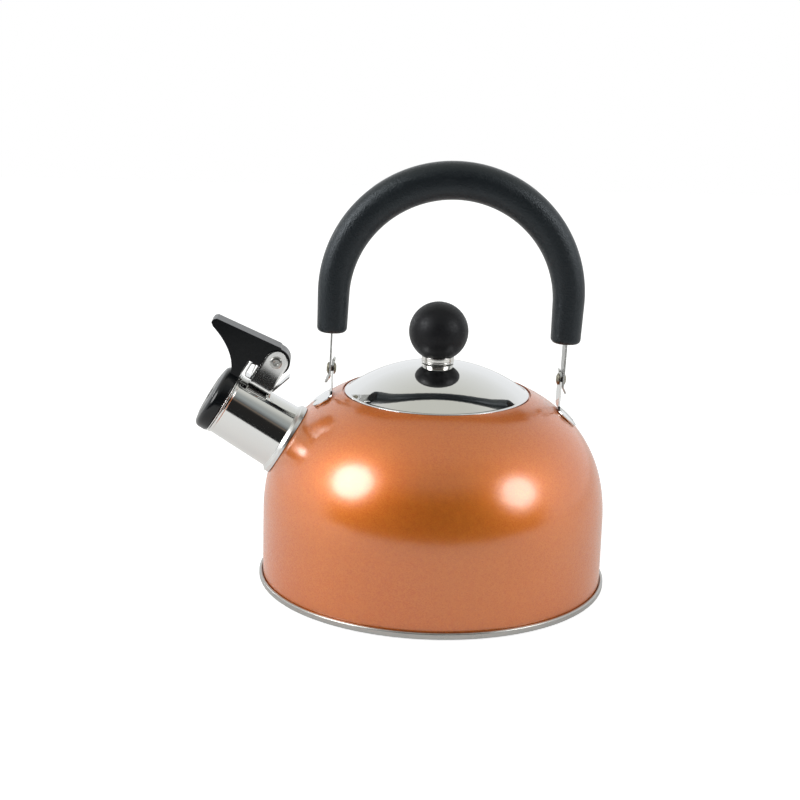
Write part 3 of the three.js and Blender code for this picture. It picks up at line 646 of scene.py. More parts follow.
@dataclass
class BasePan:
    """The base pan and the seam that its edge is rolled into."""

    shell: Shell
    thickness: float = 0.8
    flat_inset: float = 5.0
    stand: float = 1.93
    bottom: float = 0.5
    top: float = 4.0
    groove: float = 1.6
    chuck_top: float = 6.0

    def build(self, finishes: Finishes) -> None:
        """Builds the pan as one turned section that touches the axis."""
        r = self.shell.radius
        seam, flat, chuck = r + self.stand, r - self.flat_inset, r - SHEET - FIT
        line = rounded([
            (0, 0, 0), (flat * 0.93, 0, 0), (flat, 0, 0.8), (flat + 1.2, self.bottom, 0.8),
            (seam, self.bottom, 1.4), (seam, self.top, 1.25), (r + FIT, self.top, 0.5),
            (r + FIT, self.groove, 0.1), (chuck, self.groove, 0.1), (chuck, self.chuck_top, 0.25),
            (chuck - SHEET, self.chuck_top, 0.25), (chuck - SHEET, self.groove, 1.2),
            (flat - 0.4, self.thickness, 0.8), (0, self.thickness, 0)], closed=False)
        pan = revolve("base_skin", line, self.shell.sides, closed=False)
        dress(pan, finishes.satin, "satin_steel", Body.KETTLE, "base_pan")


# ---- spout --------------------------------------------------------------------------------------


@dataclass
class Spout:
    """The spout tube, its root flange on the shoulder and its beaded mouth."""

    shell: Shell
    tilt: float = math.radians(31)
    length: float = 37.0
    root: float = 17.45
    mouth: float = 16.35
    wall: float = 0.7
    flange: float = 19.3
    flange_top: float = 2.1
    bead: float = 0.55
    foot_end: float = 62.35
    below_foot: float = 2.3

    def origin(self) -> tuple[float, float, float]:
        """The root's centre: its flange clears the left ear's foot and its middle lies on the shoulder."""
        z = float(self.shell.z_at(self.foot_end)) - self.flange * math.cos(self.tilt) - self.below_foot
        return -math.sqrt(self.shell.r_at(z) ** 2 - self.flange**2), 0.0, z

    def place(self) -> np.ndarray:
        """The matrix of the spout's own frame: Z along it, X up across it."""
        return frame_matrix(self.origin(), self.tilt - math.pi / 2)

    def axis(self) -> tuple[float, float, float]:
        """Unit direction of the spout."""
        return tuple(float(v) for v in self.place()[:3, 2])

    def along(self, distance: float) -> float:
        """A distance up the spout from its root, measured from the origin along its axis, in metres."""
        place = self.place()
        return float(place[:3, 3] @ place[:3, 2] + distance) * MM

    def foot_heights(self, radius: float, turn: np.ndarray) -> np.ndarray:
        """How far down its own axis a circle of the tube meets the shoulder, found by halving.

        Args:
            radius: Radius in the tube.
            turn: Angles round the tube.

        Returns:
            Position along the spout at each angle, just clear of the shell.
        """
        place = self.place()
        low, high = np.full(len(turn), -12.0), np.full(len(turn), 8.0)
        for _ in range(40):
            z = (low + high) / 2
            local = np.stack([radius * np.cos(turn), radius * np.sin(turn), z], -1)
            x, y, height = moved(local, place).T
            r = np.hypot(x, y)
            flat = (r / (self.shell.radius + FIT)) ** self.shell.power
            above = np.maximum(height - self.shell.wall_top, 0) / (self.shell.shoulder + FIT)
            inside = flat + above**self.shell.power < 1
            low, high = np.where(inside, z, low), np.where(inside, high, z)
        return high

    def build(self, finishes: Finishes) -> None:
        """Builds the tube: the profile is turned, and its two root edges follow the shoulder."""
        tip = self.length
        line = rounded([
            (self.flange, -1, 0), (self.flange, self.flange_top - 0.4, 0.55),
            (self.root + 0.9, self.flange_top + 0.1, 0.4), (self.root, self.flange_top + 1.2, 0.6),
            (self.mouth, tip - 1.5, 0.4),
            (self.mouth + self.bead, tip - 1.2, 0.35), (self.mouth + self.bead, tip, 0.45),
            (self.mouth - self.wall, tip, 0.3), (self.mouth - self.wall, tip - 1.5, 0),
            (self.root - self.wall, 3, 0), (self.root - self.wall, -1, 0)], closed=False, steps=7)
        sides = 192
        turn = 2 * np.pi * np.arange(sides) / sides
        r, z = line[:, 0, None], line[:, 1, None] + 0 * turn
        ends = z < 0
        for radius in (self.flange, self.root - self.wall):
            row = ends & (np.abs(r - radius) < 1e-6)
            z = np.where(row, self.foot_heights(radius, turn)[None, :], z)
        points = np.stack([r * np.cos(turn), r * np.sin(turn), z], -1)
        tube = surface("spout_skin", moved(points, self.place()), True, True)
        dress(tube, finishes.drawn, "mirror_steel", Body.KETTLE, "spout_tube")


@dataclass
class WhistleMount:
    """The bent bracket on the spout, its leaf spring and the riveted pin."""

    spout: Spout
    pivot_back: float = 11.1
    pivot_rise: float = 16.2
    ear_in: float = 6.6
    ear: float = 0.8
    ear_half: float = 5.9
    bend: float = 1.6
    splay: float = 1.7
    splay_power: float = 2.8

    def web(self) -> float:
        """Underside of the bracket's web, just clear of the tube."""
        spout = self.spout
        at = (self.pivot_z() - self.ear_half) / spout.length
        return spout.root + (spout.mouth - spout.root) * at + FIT

    def pivot_z(self) -> float:
        """The pivot along the spout."""
        return self.spout.length - self.pivot_back

    def pivot_x(self) -> float:
        """The pivot across the spout."""
        return self.web() + self.pivot_rise

    def placed(self, points: np.ndarray) -> np.ndarray:
        """Points of the spout's frame in the kettle's."""
        return moved(points, self.spout.place())

    def build(self, finishes: Finishes) -> None:
        """Builds the bracket, the spring and the pin."""
        self.bracket(finishes)
        self.spring(finishes)
        self.pin(finishes)

    def bracket(self, finishes: Finishes) -> None:
        """A U of sheet: each row of the strip runs along the spout, shorter in the round tops."""
        side, floor = self.ear_in + self.ear / 2, self.web() + self.ear / 2
        turn = np.linspace(math.pi / 2, 0, 14)
        top = self.pivot_x() + self.ear_half * np.sin(turn)
        drop = np.linspace(self.pivot_x() - 1, floor + 2.5, 12)
        splay = self.splay * ((self.pivot_x() - drop) / (self.pivot_x() - floor)) ** self.splay_power
        foot = side + splay[-1]
        bend = rounded([
            (drop[-1], -foot, 0), (floor, -foot - 0.2, self.bend), (floor, foot + 0.2, self.bend),
            (drop[-1], foot, 0)], closed=False, steps=8)[8:-8]
        x = np.concatenate([top, drop, bend[:, 0], drop[::-1], top[::-1]])
        round_top = np.full(len(turn), side)
        y = np.concatenate([-round_top, -side - splay, bend[:, 1], (side + splay)[::-1], round_top])
        full = np.full(2 * len(drop) + len(bend), self.ear_half)
        half = np.concatenate([self.ear_half * np.cos(turn), full, self.ear_half * np.cos(turn)[::-1]])
        middle = self.placed(np.column_stack([x, y, np.full(len(x), self.pivot_z())]))
        across = self.spout.place()[:3, 2]
        sheet = thicken(ribbon("bracket_skin", middle, across, half, 11), self.ear, 0.15)
        dress(sheet, finishes.brushed, "mirror_steel", Body.KETTLE, "whistle_bracket")

    def spring(self, finishes: Finishes) -> None:
        """A leaf bent back behind the ears, run along the web and folded over at its front upright."""
        run = self.web() + self.ear + FIT + 0.2
        pivot, front, fold = self.pivot_z(), self.pivot_z() + 10, 1.15
        line = rounded([
            (run + 11.2, pivot - 10, 0), (run, pivot - 6.7, 1.2), (run, front, 1.0),
            (run + 7.6, front, 1.1), (run + 7.6, front - 2 * fold, 1.1),
            (run + 2.4, front - 2 * fold - 0.5, 0)], closed=False, steps=8)
        middle = self.placed(np.column_stack([line[:, 0], np.zeros(len(line)), line[:, 1]]))
        keep = np.append(True, np.linalg.norm(np.diff(middle, axis=0), axis=1) > 1e-3)
        middle = middle[keep]
        sheet = ribbon("spring_skin", middle, np.array([0, 1.0, 0]), np.full(len(middle), 4.5), 5)
        dress(thicken(sheet, 0.4, 0.08), finishes.mirror, "mirror_steel", Body.KETTLE, "leaf_spring")

    def pin(self, finishes: Finishes) -> None:
        """The pin, with a domed head and a dimple at each end, turned about its own length."""
        shank = self.ear_in + self.ear + 0.05
        end = shank + 1.15
        half = rounded([
            (1.4, shank, 0), (3.1, shank, 0.1), (3.1, end - 0.3, 0.6), (1.9, end, 0.5),
            (1.3, end, 0.25), (1.0, end - 0.6, 0.2), (0, end - 0.6, 0)], closed=False)[5:]
        line = np.concatenate([(half * [1, -1])[::-1], half])
        pivot = frame_matrix((self.pivot_x(), 0, self.pivot_z()), 0)
        turn = pivot @ np.array(Matrix.Rotation(math.pi / 2, 4, "X"))
        pin = revolve("pin_skin", line, 64, self.spout.place() @ turn, closed=False)
        dress(pin, finishes.satin, "satin_steel", Body.KETTLE, "whistle_pin")


@dataclass
class Whistle:
    """The black lever and cap, and the two sounding discs behind it."""

    mount: WhistleMount
    width: float = 12.0
    hub: float = 7.0
    lever_edge: float = 1.25
    curve: tuple[tuple[float, float], ...] = ((-3.8, 28.0), (-1.2, 36.6))
    cap_over: float = 0.45
    cap_depth: float = 7.4
    cap_wall: float = 2.6
    vent: float = 3.0
    plate: float = 0.5
    disc_hole: float = 1.6
    cup: float = 12.0
    cup_depth: float = 2.5

    def cap_radius(self) -> float:
        """Radius of the cap, just over the spout's bead."""
        return self.mount.spout.mouth + self.mount.spout.bead + self.cap_over

    def plate_z(self) -> float:
        """Rear face of the sounding plate."""
        return self.mount.spout.length + FIT

    def cap_z(self) -> float:
        """Rear face of the cap."""
        return self.plate_z() + self.plate + FIT

    def outline(self) -> np.ndarray:
        """The lever's outline: hub arc, underside, neck, concave front as a cubic curve, and thumb blade."""
        px, pz = self.mount.pivot_x(), self.mount.pivot_z()
        neck = self.cap_z() - pz
        foot = self.cap_radius() - 3.4 - px
        start = np.array([self.cap_radius() - 1.2 - px, neck + 4.3])
        controls = np.array([start, (-9, neck + 7.2), *self.curve])
        t = np.linspace(0, 1, 24)[:, None]
        weights = np.concatenate([(1 - t) ** 3, 3 * t * (1 - t) ** 2, 3 * t**2 * (1 - t), t**3], 1)
        front = weights @ controls
        blade = rounded([
            (*self.curve[1], 0), (0.2, 38.4, 0.9), (2.1, 38.1, 0.8), (3.3, 36.8, 0.5),
            (7.5, 1.8, 0.25), (6.9, 1.0, 0.1), (self.hub, 0, 0)], closed=False)[5:]
        turn = np.linspace(0, -math.pi, 30)
        hub = self.hub * np.column_stack([np.cos(turn), np.sin(turn)])
        under = rounded([
            (-self.hub, 0, 0), (0.4 - self.hub, 5, 1.5), (0.4 - self.hub, neck, 0.5), (foot, neck, 0),
            (foot, neck + 4, 0.3), (start[0], start[1], 0)], closed=False)[6:-6]
        return np.concatenate([front, blade, hub, under]) + [px, pz]

    def build(self, finishes: Finishes) -> None:
        """Builds the lever, the cap, the plate with its tab, and the cup."""
        place = self.mount.spout.place()
        lever = slab("lever_skin", self.outline(), self.width, place, self.lever_edge)
        dress(lever, finishes.gloss, "black_gloss", Body.WHISTLE, "whistle_lever")
        top, rear, r = self.cap_z() + self.cap_depth, self.cap_z(), self.cap_radius()
        inner = r - self.cap_wall - 1.2
        cap = rounded([
            (inner, rear, 0.3), (r, rear, 0.5), (r, top - 1.2, 3.2), (r - 6.5, top, 5.0),
            (self.vent + 0.3, top, 0.2), (self.vent, top - 0.4, 0.2), (self.vent, top - self.cap_wall, 0.3),
            (inner, top - self.cap_wall, 1.0)], steps=9)
        dress(revolve("cap_skin", cap, 128, place), finishes.cap, "black_gloss", Body.WHISTLE)
        self.discs(finishes, place)

    def discs(self, finishes: Finishes, place: np.ndarray) -> None:
        """Builds the sounding plate with the tab behind the neck, and the cup inside the mouth."""
        rear, r, t = self.plate_z(), self.cap_radius() - 0.1, self.plate
        hole = self.disc_hole
        disc = rounded([
            (hole, rear, 0.15), (r, rear, 0.2), (r, rear + t, 0.2), (hole, rear + t, 0.15)], steps=4)
        plate = revolve("plate_skin", disc, 128, place)
        dress(plate, finishes.brushed, "mirror_steel", Body.WHISTLE, "whistle_plate")
        turn = np.linspace(0, math.pi / 2, 8)
        x = np.concatenate([[r - 3], r + 6.6 + 1.5 * np.sin(turn)])
        half = np.concatenate([[4.5], 3.0 + 1.5 * np.cos(turn)])
        middle = self.mount.placed(np.column_stack([x, 0 * x, np.full(len(x), rear + t / 2)]))
        tab = thicken(ribbon("plate_tab", middle, np.array([0, 1.0, 0]), half, 5), t, 0.1)
        dress(tab, finishes.brushed, "mirror_steel", Body.WHISTLE)
        rim, floor, cup = rear - FIT, rear - FIT - self.cup_depth, self.cup
        line = rounded([
            (hole, floor, 0.1), (cup, floor, 0.9), (cup, rim, 0.15), (cup - t, rim, 0.15),
            (cup - t, floor + t, 0.4), (hole, floor + t, 0.1)])
        inner = revolve("cup_skin", line, 96, place)
        dress(inner, finishes.satin, "satin_steel", Body.WHISTLE, "whistle_cup")


# ---- lid ----------------------------------------------------------------------------------------


@dataclass
class Lid:
    """The polished lid, its skirt, and the stack of collar and ball on top."""

    shell: Shell
    gap: float = 1.1
    rise: float = 15.5
    rim_height: float = 1.0
    rim_width: float = 1.5
    rim_shoulder: float = 0.7
    rim_tuck: float = 0.9
    skirt_drop: float = 8.0
    collar: float = 8.3
    collar_height: float = 3.4
    ball: float = 15.1
    ball_foot: float = 8.8
    hole: float = 2.3

    def rim_z(self) -> float:
        """Underside of the lid's rim, on its seat in the mouth."""
        return float(self.shell.z_at(self.shell.mouth)) - self.shell.ledge_drop + FIT

    def dome_top(self) -> float:
        """Top of the dome."""
        return self.rim_z() + self.rim_height + self.rise

    def dome_radius(self) -> float:
        """Radius of the sphere that the dome is part of."""
        foot = self.shell.mouth - self.gap - self.rim_shoulder
        return (foot**2 + self.rise**2) / (2 * self.rise)

    def dome(self, r: np.ndarray, depth: float = 0.0) -> np.ndarray:
        """Height of the dome at a radius, some depth below its outer face."""
        return self.dome_top() - self.dome_radius() + np.sqrt((self.dome_radius() - depth) ** 2 - r**2)

    def build(self, finishes: Finishes) -> None:
        """Builds the dome and skirt, then the knob."""
        rim, z = self.shell.mouth - self.gap, self.rim_z()
        inner = rim - self.rim_width
        out = np.linspace(rim - self.rim_shoulder, self.hole, 60)
        back = np.linspace(self.hole, inner - 0.2, 50)
        high = z + self.rim_height
        edge = rounded([
            (inner - 0.2, z + 0.4, 0), (inner + 0.2, z, 0.25), (rim - self.rim_tuck, z, 0.3),
            (rim, high - 0.4, 0.25), (rim, high, 0.25),
            (rim - self.rim_shoulder, high, 0)], closed=False)[5:-5]
        outer = np.column_stack([out, self.dome(out)])
        under = np.column_stack([back, self.dome(back, SHEET)])
        line = np.concatenate([edge, outer, under])
        dress(revolve("lid_skin", line, 288), finishes.mirror, "mirror_steel", Body.LID, "lid_dome")
        self.skirt(finishes)
        self.knob(finishes)
        for node, finish, slot in (
            ("knob_insert", finishes.brass, "brass"),
            ("knob_washer", finishes.strap, "satin_steel"),
            ("knob_screw", finishes.strap, "satin_steel"),
        ):
            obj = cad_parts[node]
            obj.data.materials.clear()
            obj.data.materials.append(finish)

    def skirt(self, finishes: Finishes) -> None:
        """Builds the skirt, a short tube with an in-turned lower edge."""
        outer, bottom = self.shell.neck_radius() - 0.4, self.rim_z() - self.skirt_drop
        top = float(self.dome(np.array(outer), SHEET)) - FIT
        line = rounded([
            (outer - 0.5, bottom, 0.3), (outer, bottom + 0.6, 0.5), (outer, top, 0.2),
            (outer - SHEET, top, 0.2), (outer - SHEET, bottom + 0.8, 0.4),
            (outer - SHEET - 0.4, bottom, 0.1)])
        dress(revolve("skirt_skin", line, 192), finishes.satin, "satin_steel", Body.LID, "lid_skirt")

    def knob(self, finishes: Finishes) -> None:
        """Builds the collar, waisted with a groove round it, and the ball with its flat foot."""
        top, r = self.dome_top() + self.collar_height, self.collar
        low = float(self.dome(np.array(r))) + FIT
        mid = self.dome_top() + 0.30 * self.collar_height
        collar = rounded([
            (r, low, 0.3), (r, mid - 0.12, 0.1), (r - 0.25, mid, 0.05), (r, mid + 0.12, 0.1), (r, top, 0.3),
            (self.hole, top, 0), (self.hole, float(self.dome(np.array(self.hole))) + FIT, 0)])
        dress(revolve("collar_skin", collar, 128), finishes.collar, "mirror_steel", Body.LID, "knob_collar")
        foot = top + FIT
        centre = foot + math.sqrt(self.ball**2 - self.ball_foot**2)
        turn = np.linspace(-math.acos(self.ball_foot / self.ball) + 0.04, math.pi / 2, 80)
        skin = np.column_stack([self.ball * np.cos(turn), centre + self.ball * np.sin(turn)])
        skin[-1, 0] = 0
        socket = rounded([(0, foot + 9.1, 0), (4.3, foot + 9.1, 0.2), (4.3, foot, 0.2),
                          (self.ball_foot, foot, 0.5), tuple(skin[0]) + (0,)], closed=False)[5:-6]
        line = np.concatenate([socket, skin])
        ball = revolve("ball_skin", line, 128, closed=False)
        dress(ball, finishes.knob, "black_satin", Body.LID, "knob_ball")


# ---- handle -------------------------------------------------------------------------------------


@dataclass
class Handle:
    """The two ears on the shoulder, their rivets, the strap and the grip."""

    shell: Shell
    ear_out: tuple[float, float] = (5.85, 15.25)
    ear_rise: tuple[float, float] = (14.0, 16.9)
    ear: float = 1.0
    ear_half: float = 6.0
    ear_tip: float = 5.8
    bend_start: float = 3.2
    bend_out: float = 1.2
    lean: float = 0.4
    slope: float = 0.028
    foot_half: float = 7.0
    lobe: float = 5.0
    lobe_side: float = 4.3
    lobe_out: float = 4.0
    rivet_head: float = 3.0
    strap: float = 0.9
    strap_half: float = 6.0
    tail: float = 7.6
    tail_out: float = 2.2
    leg: float = 39.2
    grip_start: float = 19.1
    grip_half: tuple[float, float] = (7.6, 9.6)
    grip_depth: tuple[float, float] = (7.7, 8.6)
    grip_power: float = 2.3
    grip_round: float = 2.3

    def rivet(self, side: int) -> tuple[float, float]:
        """Position of a rivet in the XZ plane, on the left for -1 and the right for 1."""
        k = 0 if side < 0 else 1
        r = self.shell.mouth + self.ear_out[k]
        return side * r, float(self.shell.z_at(r)) + self.ear_rise[k]

    def hinge(self) -> tuple[np.ndarray, float]:
        """The matrix of the hinge's frame, X along the hinge line, and half the span of the rivets."""
        (lx, lz), (rx, rz) = self.rivet(-1), self.rivet(1)
        place = frame_matrix(((lx + rx) / 2, 0, (lz + rz) / 2), math.atan2(lz - rz, rx - lx))
        return place, math.hypot(rx - lx, rz - lz) / 2

    def build(self, finishes: Finishes) -> None:
        """Builds both hinges, the strap and the grip."""
        for side, name in ((-1, "left"), (1, "right")):
            self.ear_sheet(side, name, finishes)
            self.rivet_piece(side, name, finishes)
        self.strap_piece(finishes)
        self.grip_piece(finishes)

    def ear_sheet(self, side: int, name: str, finishes: Finishes) -> None:
        """One bent sheet: a two-lobed foot on the shoulder, a soft bend, and an upright with a round tip.

        The foot's reach out from the upright at a distance y off the middle is
        a + sqrt(b^2 - (|y| - c)^2), two arcs that meet in a cusp.

        Args:
            side: -1 for the left ear, 1 for the right.
            name: Word used in the names.
            finishes: The kettle's finishes.
        """
        rivet_x, rivet_z = abs(self.rivet(side)[0]), self.rivet(side)[1]
        base = rivet_x - FIT / 2 - self.ear / 2 - side * self.lean
        grow = FIT + self.ear / 2
        v = np.linspace(-1, 1, 25)[None, :]
        t = np.linspace(1, 0.22, 16)[:, None]
        wide = self.lobe_side + self.lobe
        y_foot = v * (self.foot_half + (wide - self.foot_half) * np.minimum(t / 0.35, 1))
        reach = self.lobe_out + np.sqrt(np.maximum(self.lobe**2 - (np.abs(y_foot) - self.lobe_side) ** 2, 0))
        x_foot = base + t * reach
        z_foot = self.shell.z_at(np.hypot(x_foot, y_foot), grow)
        foot = np.stack([x_foot, y_foot, z_foot], -1)
        corner_y = v[0] * self.ear_half
        corner_z = self.shell.z_at(np.hypot(base, corner_y), grow)
        corner = np.stack([0 * corner_y + base, corner_y, corner_z], -1)
        rise = np.linspace(2.2, rivet_z - corner[12, 2] - 0.4, 10)
        turn = np.linspace(0, math.pi / 2, 16)
        drop = self.ear_tip - self.ear_half
        height = np.concatenate([corner[12, 2] + rise, rivet_z + drop + self.ear_half * np.sin(turn)])
        half = np.concatenate([np.full(10, self.ear_half), self.ear_half * np.cos(turn)])
        above = height - rivet_z
        x_up = rivet_x - FIT / 2 - self.ear / 2 + side * self.slope * above
        x_up -= np.maximum(above - self.bend_start, 0) * self.bend_out / (self.ear_tip - self.bend_start)
        up = np.stack([x_up[:, None] + 0 * v, half[:, None] * v, height[:, None] + 0 * v], -1)
        s = np.linspace(0, 1, 8)[1:-1, None, None]
        bend = (1 - s) ** 2 * foot[-1] + 2 * s * (1 - s) * corner + s**2 * up[0]
        rows = np.concatenate([foot, bend, up]) * [side, 1, 1]
        sheet = thicken(surface(f"ear_{name}_skin", rows), self.ear, 0.2)
        dress(sheet, finishes.mirror, "mirror_steel", Body.KETTLE, f"handle_ear_{name}")

    def rivet_piece(self, side: int, name: str, finishes: Finishes) -> None:
        """Builds a rivet with a domed head inside and a flattened, dished one outside."""
        place, half = self.hinge()
        inner, outer = -(FIT / 2 + self.ear + 0.1), FIT / 2 + self.strap + 0.1
        head = self.rivet_head
        line = rounded([
            (0, inner - 1.35, 0), (1.7, inner - 1.25, 1.0), (head, inner - 0.55, 0.5), (head, inner, 0.15),
            (1.6, inner, 0), (1.6, outer, 0), (head, outer, 0.15), (head, outer + 0.6, 0.5),
            (1.6, outer + 1.3, 0.6), (0.8, outer + 1.1, 0.2), (0, outer + 0.9, 0)], closed=False)
        turn = np.array(Matrix.Translation((side * half, 0, 0)) @ Matrix.Rotation(side * math.pi / 2, 4, "Y"))
        piece = revolve(f"rivet_{name}_skin", line, 64, place @ turn, closed=False)
        dress(piece, finishes.rivet, "satin_steel", Body.KETTLE, f"handle_rivet_{name}")

    def strap_piece(self, finishes: Finishes) -> None:
        """The strap: a round flared tail, a leg, half a circle, and the same down the other side."""
        place, half_span = self.hinge()
        x = half_span + (FIT + self.strap) / 2
        turn = np.linspace(math.pi / 2, 0, 14)
        tail = -(self.tail - self.strap_half) - self.strap_half * np.sin(turn)
        leg = np.linspace(0, self.leg, 12)
        z_side = np.concatenate([tail, leg])
        flare = np.maximum(-z_side - self.bend_start, 0) * self.tail_out / (self.tail - self.bend_start)
        x_side = x + flare
        half_side = np.concatenate([self.strap_half * np.cos(turn), np.full(12, self.strap_half)])
        arch = np.linspace(0, math.pi, 60)[1:-1]
        xs = np.concatenate([x_side, x * np.cos(arch), -x_side[::-1]])
        zs = np.concatenate([z_side, self.leg + x * np.sin(arch), z_side[::-1]])
        half = np.concatenate([half_side, np.full(58, self.strap_half), half_side[::-1]])
        middle = moved(np.column_stack([xs, 0 * xs, zs]), place)
        sheet = thicken(ribbon("strap_skin", middle, np.array([0, 1.0, 0]), half, 9), self.strap, 0.15)
        dress(sheet, finishes.strap, "satin_steel", Body.HANDLE, "handle_strap")

    def grip_piece(self, finishes: Finishes) -> None:
        """The grip: superellipse rings carried along the arch, thickest at its top, with rounded ends."""
        place, half_span = self.hinge()
        radius = half_span + (FIT + self.strap) / 2
        leg = self.leg - self.grip_start
        total = 2 * leg + math.pi * radius
        turn = np.linspace(0, math.pi / 2, 8)
        end = self.grip_round * (1 - np.cos(turn))
        pull = self.grip_round * (1 - np.sin(turn))
        body = np.linspace(self.grip_round, total - self.grip_round, 170)[1:-1]
        along = np.concatenate([end, body, total - end[::-1]])
        pull = np.concatenate([pull, 0 * body, pull[::-1]])
        angle = np.clip((along - leg) / radius, 0, math.pi)
        down = np.maximum(leg - along, 0) + np.maximum(along - (total - leg), 0)
        swell = np.maximum(np.sin(np.pi * along / total), 0) ** 1.2
        across = self.grip_half[0] + (self.grip_half[1] - self.grip_half[0]) * swell - pull
        depth = self.grip_depth[0] + (self.grip_depth[1] - self.grip_depth[0]) * swell - pull
        height = self.leg + radius * np.sin(angle) - down
        middle = np.column_stack([radius * np.cos(angle), 0 * angle, height])
        ring = 2 * np.pi * np.arange(72) / 72
        c, s = np.cos(ring), np.sin(ring)
        out = np.sign(c) * np.abs(c) ** (2 / self.grip_power)
        side = np.sign(s) * np.abs(s) ** (2 / self.grip_power)
        points = middle[:, None] + np.stack([
            across[:, None] * out * np.cos(angle)[:, None],
            depth[:, None] * side,
            across[:, None] * out * np.sin(angle)[:, None]], -1)
        faces = [middle[[0]] + share * (points[0] - middle[0]) for share in (0, 0.5, 0.9)]
        ends = [middle[[-1]] + share * (points[-1] - middle[-1]) for share in (0.9, 0.5, 0)]
        rows = np.concatenate([np.stack(faces), points, np.stack(ends)])
        grip = surface("grip_skin", moved(rows, place), False, True, 60)
        dress(grip, finishes.grip, "grip_black", Body.HANDLE, "handle_grip")


# ---- studio -------------------------------------------------------------------------------------


@dataclass
class SoftBox:
    """A round area light that shines at the kettle."""

    name: str
    direction: tuple[float, float, float]
    distance: float
    size: float
    watts: float

    def build(self, target: Vector) -> None:
        """Places the light in its direction from the target and turns it to face it."""
        light = bpy.data.lights.new(self.name, "AREA")
        light.shape, light.size, light.energy = "DISK", self.size, self.watts
        lamp = bpy.data.objects.new(self.name, light)
        toward = Vector(self.direction).normalized()
        lamp.location = target + toward * self.distance
        lamp.rotation_euler = toward.to_track_quat("Z", "Y").to_euler()
        bpy.context.scene.collection.objects.link(lamp)


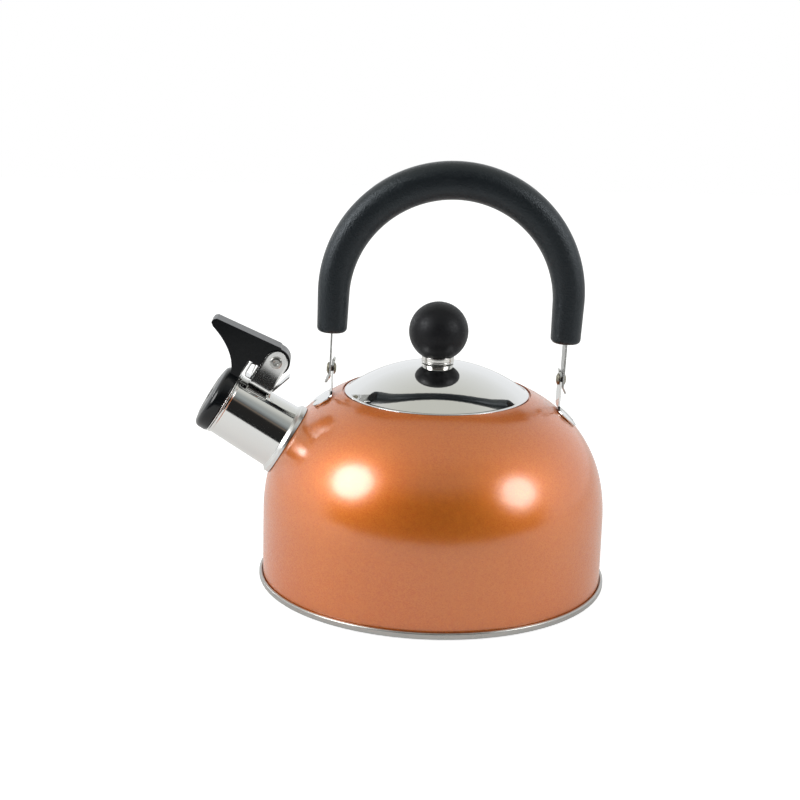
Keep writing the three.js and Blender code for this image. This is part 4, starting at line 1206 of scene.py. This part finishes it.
@dataclass
class Studio:
    """A white table, a white backdrop, a dark room behind the camera, round lamps and the camera."""

    eye: tuple[float, float, float] = (-43.1, -822.9, 308.5)
    aim: tuple[float, float, float] = (-18.64, 0.98, 94.56)
    roll: float = math.radians(1.62)
    lens: float = 74.66
    floor_half: float = 1600.0
    room: tuple[tuple[float, tuple[float, float, float]], ...] = (
        (0.0, (0.02, 0.02, 0.02)), (0.46, (0.022, 0.021, 0.02)), (0.50, (0.07, 0.065, 0.06)),
        (0.53, (0.20, 0.15, 0.11)), (0.57, (0.11, 0.11, 0.11)), (0.70, (0.36, 0.39, 0.39)),
        (0.85, (0.46, 0.47, 0.45)), (1.0, (0.66, 0.67, 0.66)))
    left: tuple[float, float, float] = (-0.795, -0.353, 0.494)
    right: tuple[float, float, float] = (0.785, -0.445, 0.418)
    table_edge: tuple[float, float] = (-0.66, -0.56)

    def build(self) -> None:
        """Builds the camera, floor, sky and lights."""
        self.camera()
        self.floor()
        self.sky()
        target = Vector((0, 0, 0.08))
        boxes = (
            SoftBox("box_left", self.left, 1.1, 0.54, 5.4),
            SoftBox("box_left_spill", self.left, 1.12, 0.78, 1.5),
            SoftBox("box_right", self.right, 1.1, 0.46, 2.6),
            SoftBox("box_right_spill", self.right, 1.12, 0.68, 1.3),
            SoftBox("box_rear", (-0.756, 0.605, 0.252), 1.2, 0.10, 0.3),
        )
        for box in boxes:
            box.build(target)
        bpy.context.scene.view_settings.view_transform = "Standard"

    def camera(self) -> None:
        """Aims the camera and turns it about its own axis by the roll."""
        data = bpy.data.cameras.new("camera")
        data.lens, data.sensor_width = self.lens, 36.0
        data.clip_end = 20.0
        camera = bpy.data.objects.new("camera", data)
        eye, aim = Vector(self.eye) * MM, Vector(self.aim) * MM
        look = (aim - eye).to_track_quat("-Z", "Y").to_matrix().to_4x4()
        camera.matrix_world = Matrix.Translation(eye) @ look @ Matrix.Rotation(self.roll, 4, "Z")
        bpy.context.scene.collection.objects.link(camera)
        bpy.context.scene.camera = camera

    def floor(self) -> None:
        """A white sheet under the base, which reflections see as a table with an edge."""
        h = self.floor_half
        corners = np.array([[[-h, -h, -0.05], [h, -h, -0.05]], [[-h, h, -0.05], [h, h, -0.05]]])
        sheet = surface("floor", corners)
        g = Graph("paper_white")
        g.set(Roughness=0.7, Specular_IOR_Level=0.0, Emission_Color=(1, 1, 1, 1))
        split = g.nodes.new("ShaderNodeSeparateXYZ")
        g.join(g.place, split.inputs[0])
        near = g.ramp(split.outputs[1], *self.table_edge, (0, 1))
        g.colour(g.blend(near, (0.02, 0.02, 0.02), (0.55, 0.55, 0.55)))
        seen = g.nodes.new("ShaderNodeLightPath").outputs["Is Camera Ray"]
        other = g.math("MULTIPLY", near, 0.28)
        g.join(g.math("ADD", other, g.math("MULTIPLY", seen, g.ramp(near, 0, 1, (1.2, 0.52)))),
               g.shader.inputs["Emission Strength"])
        sheet.data.materials.append(g.material)

    def sky(self) -> None:
        """A sky by direction: a white backdrop, and a room that is dark up to its ceiling."""
        world = bpy.data.worlds.new("studio")
        bpy.context.scene.world = world
        world.use_nodes = True
        tree = world.node_tree
        tree.nodes.clear()
        join = tree.links.new

        def node(kind: str, **settings: object) -> bpy.types.Node:
            """A node with its settings."""
            made = tree.nodes.new(kind)
            for key, value in settings.items():
                setattr(made, key, value)
            return made

        def ramp(source: object, low: float, high: float, to: tuple[float, float]) -> object:
            """A smooth step of a value between two limits."""
            made = node("ShaderNodeMapRange", interpolation_type="SMOOTHSTEP")
            for key, value in zip(("From Min", "From Max", "To Min", "To Max"), (low, high, *to)):
                made.inputs[key].default_value = value
            join(source, made.inputs["Value"])
            return made.outputs["Result"]

        direction = node("ShaderNodeTexCoord").outputs["Generated"]
        split = node("ShaderNodeSeparateXYZ")
        join(direction, split.inputs[0])
        front = ramp(split.outputs[1], -0.42, -0.05, (1, 0))
        climb = node("ShaderNodeValToRGB")
        join(split.outputs[2], climb.inputs[0])
        stops = climb.color_ramp.elements
        for _ in range(len(self.room) - len(stops)):
            stops.new(0.5)
        for stop, (height, shade) in zip(stops, self.room):
            stop.position, stop.color = height, (*shade, 1)
        back = node("ShaderNodeValToRGB")
        join(split.outputs[2], back.inputs[0])
        low, high = back.color_ramp.elements
        low.position, low.color = 0.35, (0.96, 0.98, 1.0, 1)
        high.position, high.color = 0.95, (0.66, 0.665, 0.61, 1)
        sides = node("ShaderNodeMix", data_type="RGBA")
        join(front, sides.inputs[0])
        join(back.outputs[0], sides.inputs[6])
        join(climb.outputs[0], sides.inputs[7])
        light = node("ShaderNodeBackground")
        join(sides.outputs[2], light.inputs["Color"])
        plain = node("ShaderNodeBackground")
        plain.inputs["Color"].default_value = (1, 1, 1, 1)
        pick = node("ShaderNodeMixShader")
        join(node("ShaderNodeLightPath").outputs["Is Camera Ray"], pick.inputs[0])
        join(light.outputs[0], pick.inputs[1])
        join(plain.outputs[0], pick.inputs[2])
        join(pick.outputs[0], node("ShaderNodeOutputWorld").inputs[0])


def main() -> None:
    """Builds the studio and every piece of the kettle in order."""
    logging.basicConfig(level=logging.INFO, format="%(name)s: %(message)s")
    Studio().build()
    shell = Shell()
    spout = Spout(shell)
    finishes = Finishes(spout)
    mount = WhistleMount(spout)
    shell.build(finishes, spout)
    BasePan(shell).build(finishes)
    spout.build(finishes)
    mount.build(finishes)
    Whistle(mount).build(finishes)
    Lid(shell).build(finishes)
    Handle(shell).build(finishes)


if __name__ == "__main__":
    main()
